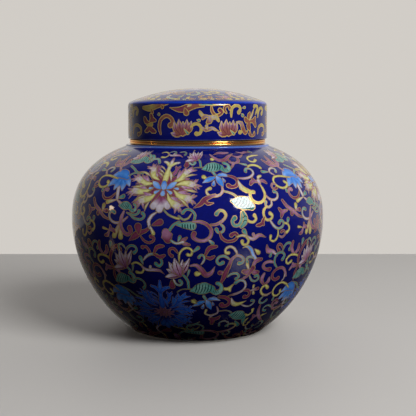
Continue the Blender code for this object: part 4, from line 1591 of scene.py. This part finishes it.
def softbox(name, turn, rise, distance, size, power, colour, lights=True, mirrored=True):
    """A rectangular light that faces the jar, turned from the viewer's side and raised by some degrees.

    One that doesn't light is only mirrored in the glaze, and one that isn't mirrored only lights.
    """
    turn, rise = math.radians(turn), math.radians(rise)
    aim = Vector((0, 0, AIM_HEIGHT))
    data = bpy.data.lights.new(name, "AREA")
    data.shape = "RECTANGLE"
    data.size, data.size_y = size
    data.energy = power
    data.color = colour
    lamp = in_scene(name, data)
    lamp.visible_diffuse = lights
    lamp.visible_glossy = mirrored
    way = Vector((math.sin(turn) * math.cos(rise), -math.cos(turn) * math.cos(rise), math.sin(rise)))
    lamp.location = aim + way * distance
    lamp.rotation_euler = (-way).to_track_quat("-Z", "Y").to_euler()


# one window, as the small bright patch that the glaze mirrors and as the soft light it gives
softbox("window", 42, 26.6, 1.5, (0.44, 0.44), 12, (1.0, 0.98, 0.96), lights=False)
softbox("daylight", 41, 37, 1.6, (0.8, 0.7), 21.5, (1.0, 0.99, 0.98), mirrored=False)
softbox("back wall", 175, 38, 1.6, (2.6, 1.4), 3.5, (1.0, 0.98, 0.95))
softbox("warm lamp", -81, 11, 1.5, (0.11, 0.11), 0.5, (1.0, 0.75, 0.5))

# the room is a pale wall behind the jar that darkens towards the viewer
ROOM_PALE = (0.64, 0.61, 0.57, 1)
ROOM_DARK = (0.07, 0.072, 0.08, 1)
PALE_WAY = (0.15, 0.95, -0.2)
world = bpy.data.worlds.new("room")
world.use_nodes = True
air = Tree(world.node_tree)
facing = air.node(
    "ShaderNodeVectorMath",
    {"operation": "DOT_PRODUCT"},
    n0=air.node("ShaderNodeTexCoord").outputs["Generated"],
    n1=PALE_WAY,
)
lit = air.node("ShaderNodeMapRange", {"interpolation_type": "SMOOTHSTEP"}, Value=facing.outputs["Value"])
lit.inputs["From Min"].default_value = -0.1
lit.inputs["From Max"].default_value = 0.93
wall = air.node("ShaderNodeMix", {"data_type": "RGBA"}, n0=lit.outputs[0], n6=ROOM_DARK, n7=ROOM_PALE)
air.put(world.node_tree.nodes["Background"].inputs["Color"], wall.outputs[2])
bpy.context.scene.world = world
bpy.context.scene.view_settings.view_transform = "Standard"

# the camera, worked out from the photograph's ellipses: its lens and the jar's axis are in the frame's pixels
FRAME_PIXELS = 416
LENS_PIXELS = 884
AXIS_PIXEL = 197.5
SENSOR_WIDTH = 36
CAMERA_AWAY = 705.7 * MM
CAMERA_HEIGHT = 173.7 * MM
CAMERA_DIP = 6.26
camera_data = bpy.data.cameras.new("camera")
camera_data.sensor_width = SENSOR_WIDTH
camera_data.lens = LENS_PIXELS / FRAME_PIXELS * SENSOR_WIDTH
camera_data.shift_x = (FRAME_PIXELS / 2 - AXIS_PIXEL) / FRAME_PIXELS
camera = in_scene("camera", camera_data)
camera.location = (0, -CAMERA_AWAY, CAMERA_HEIGHT)
camera.rotation_euler = (math.radians(90 - CAMERA_DIP), 0, 0)
bpy.context.scene.camera = camera
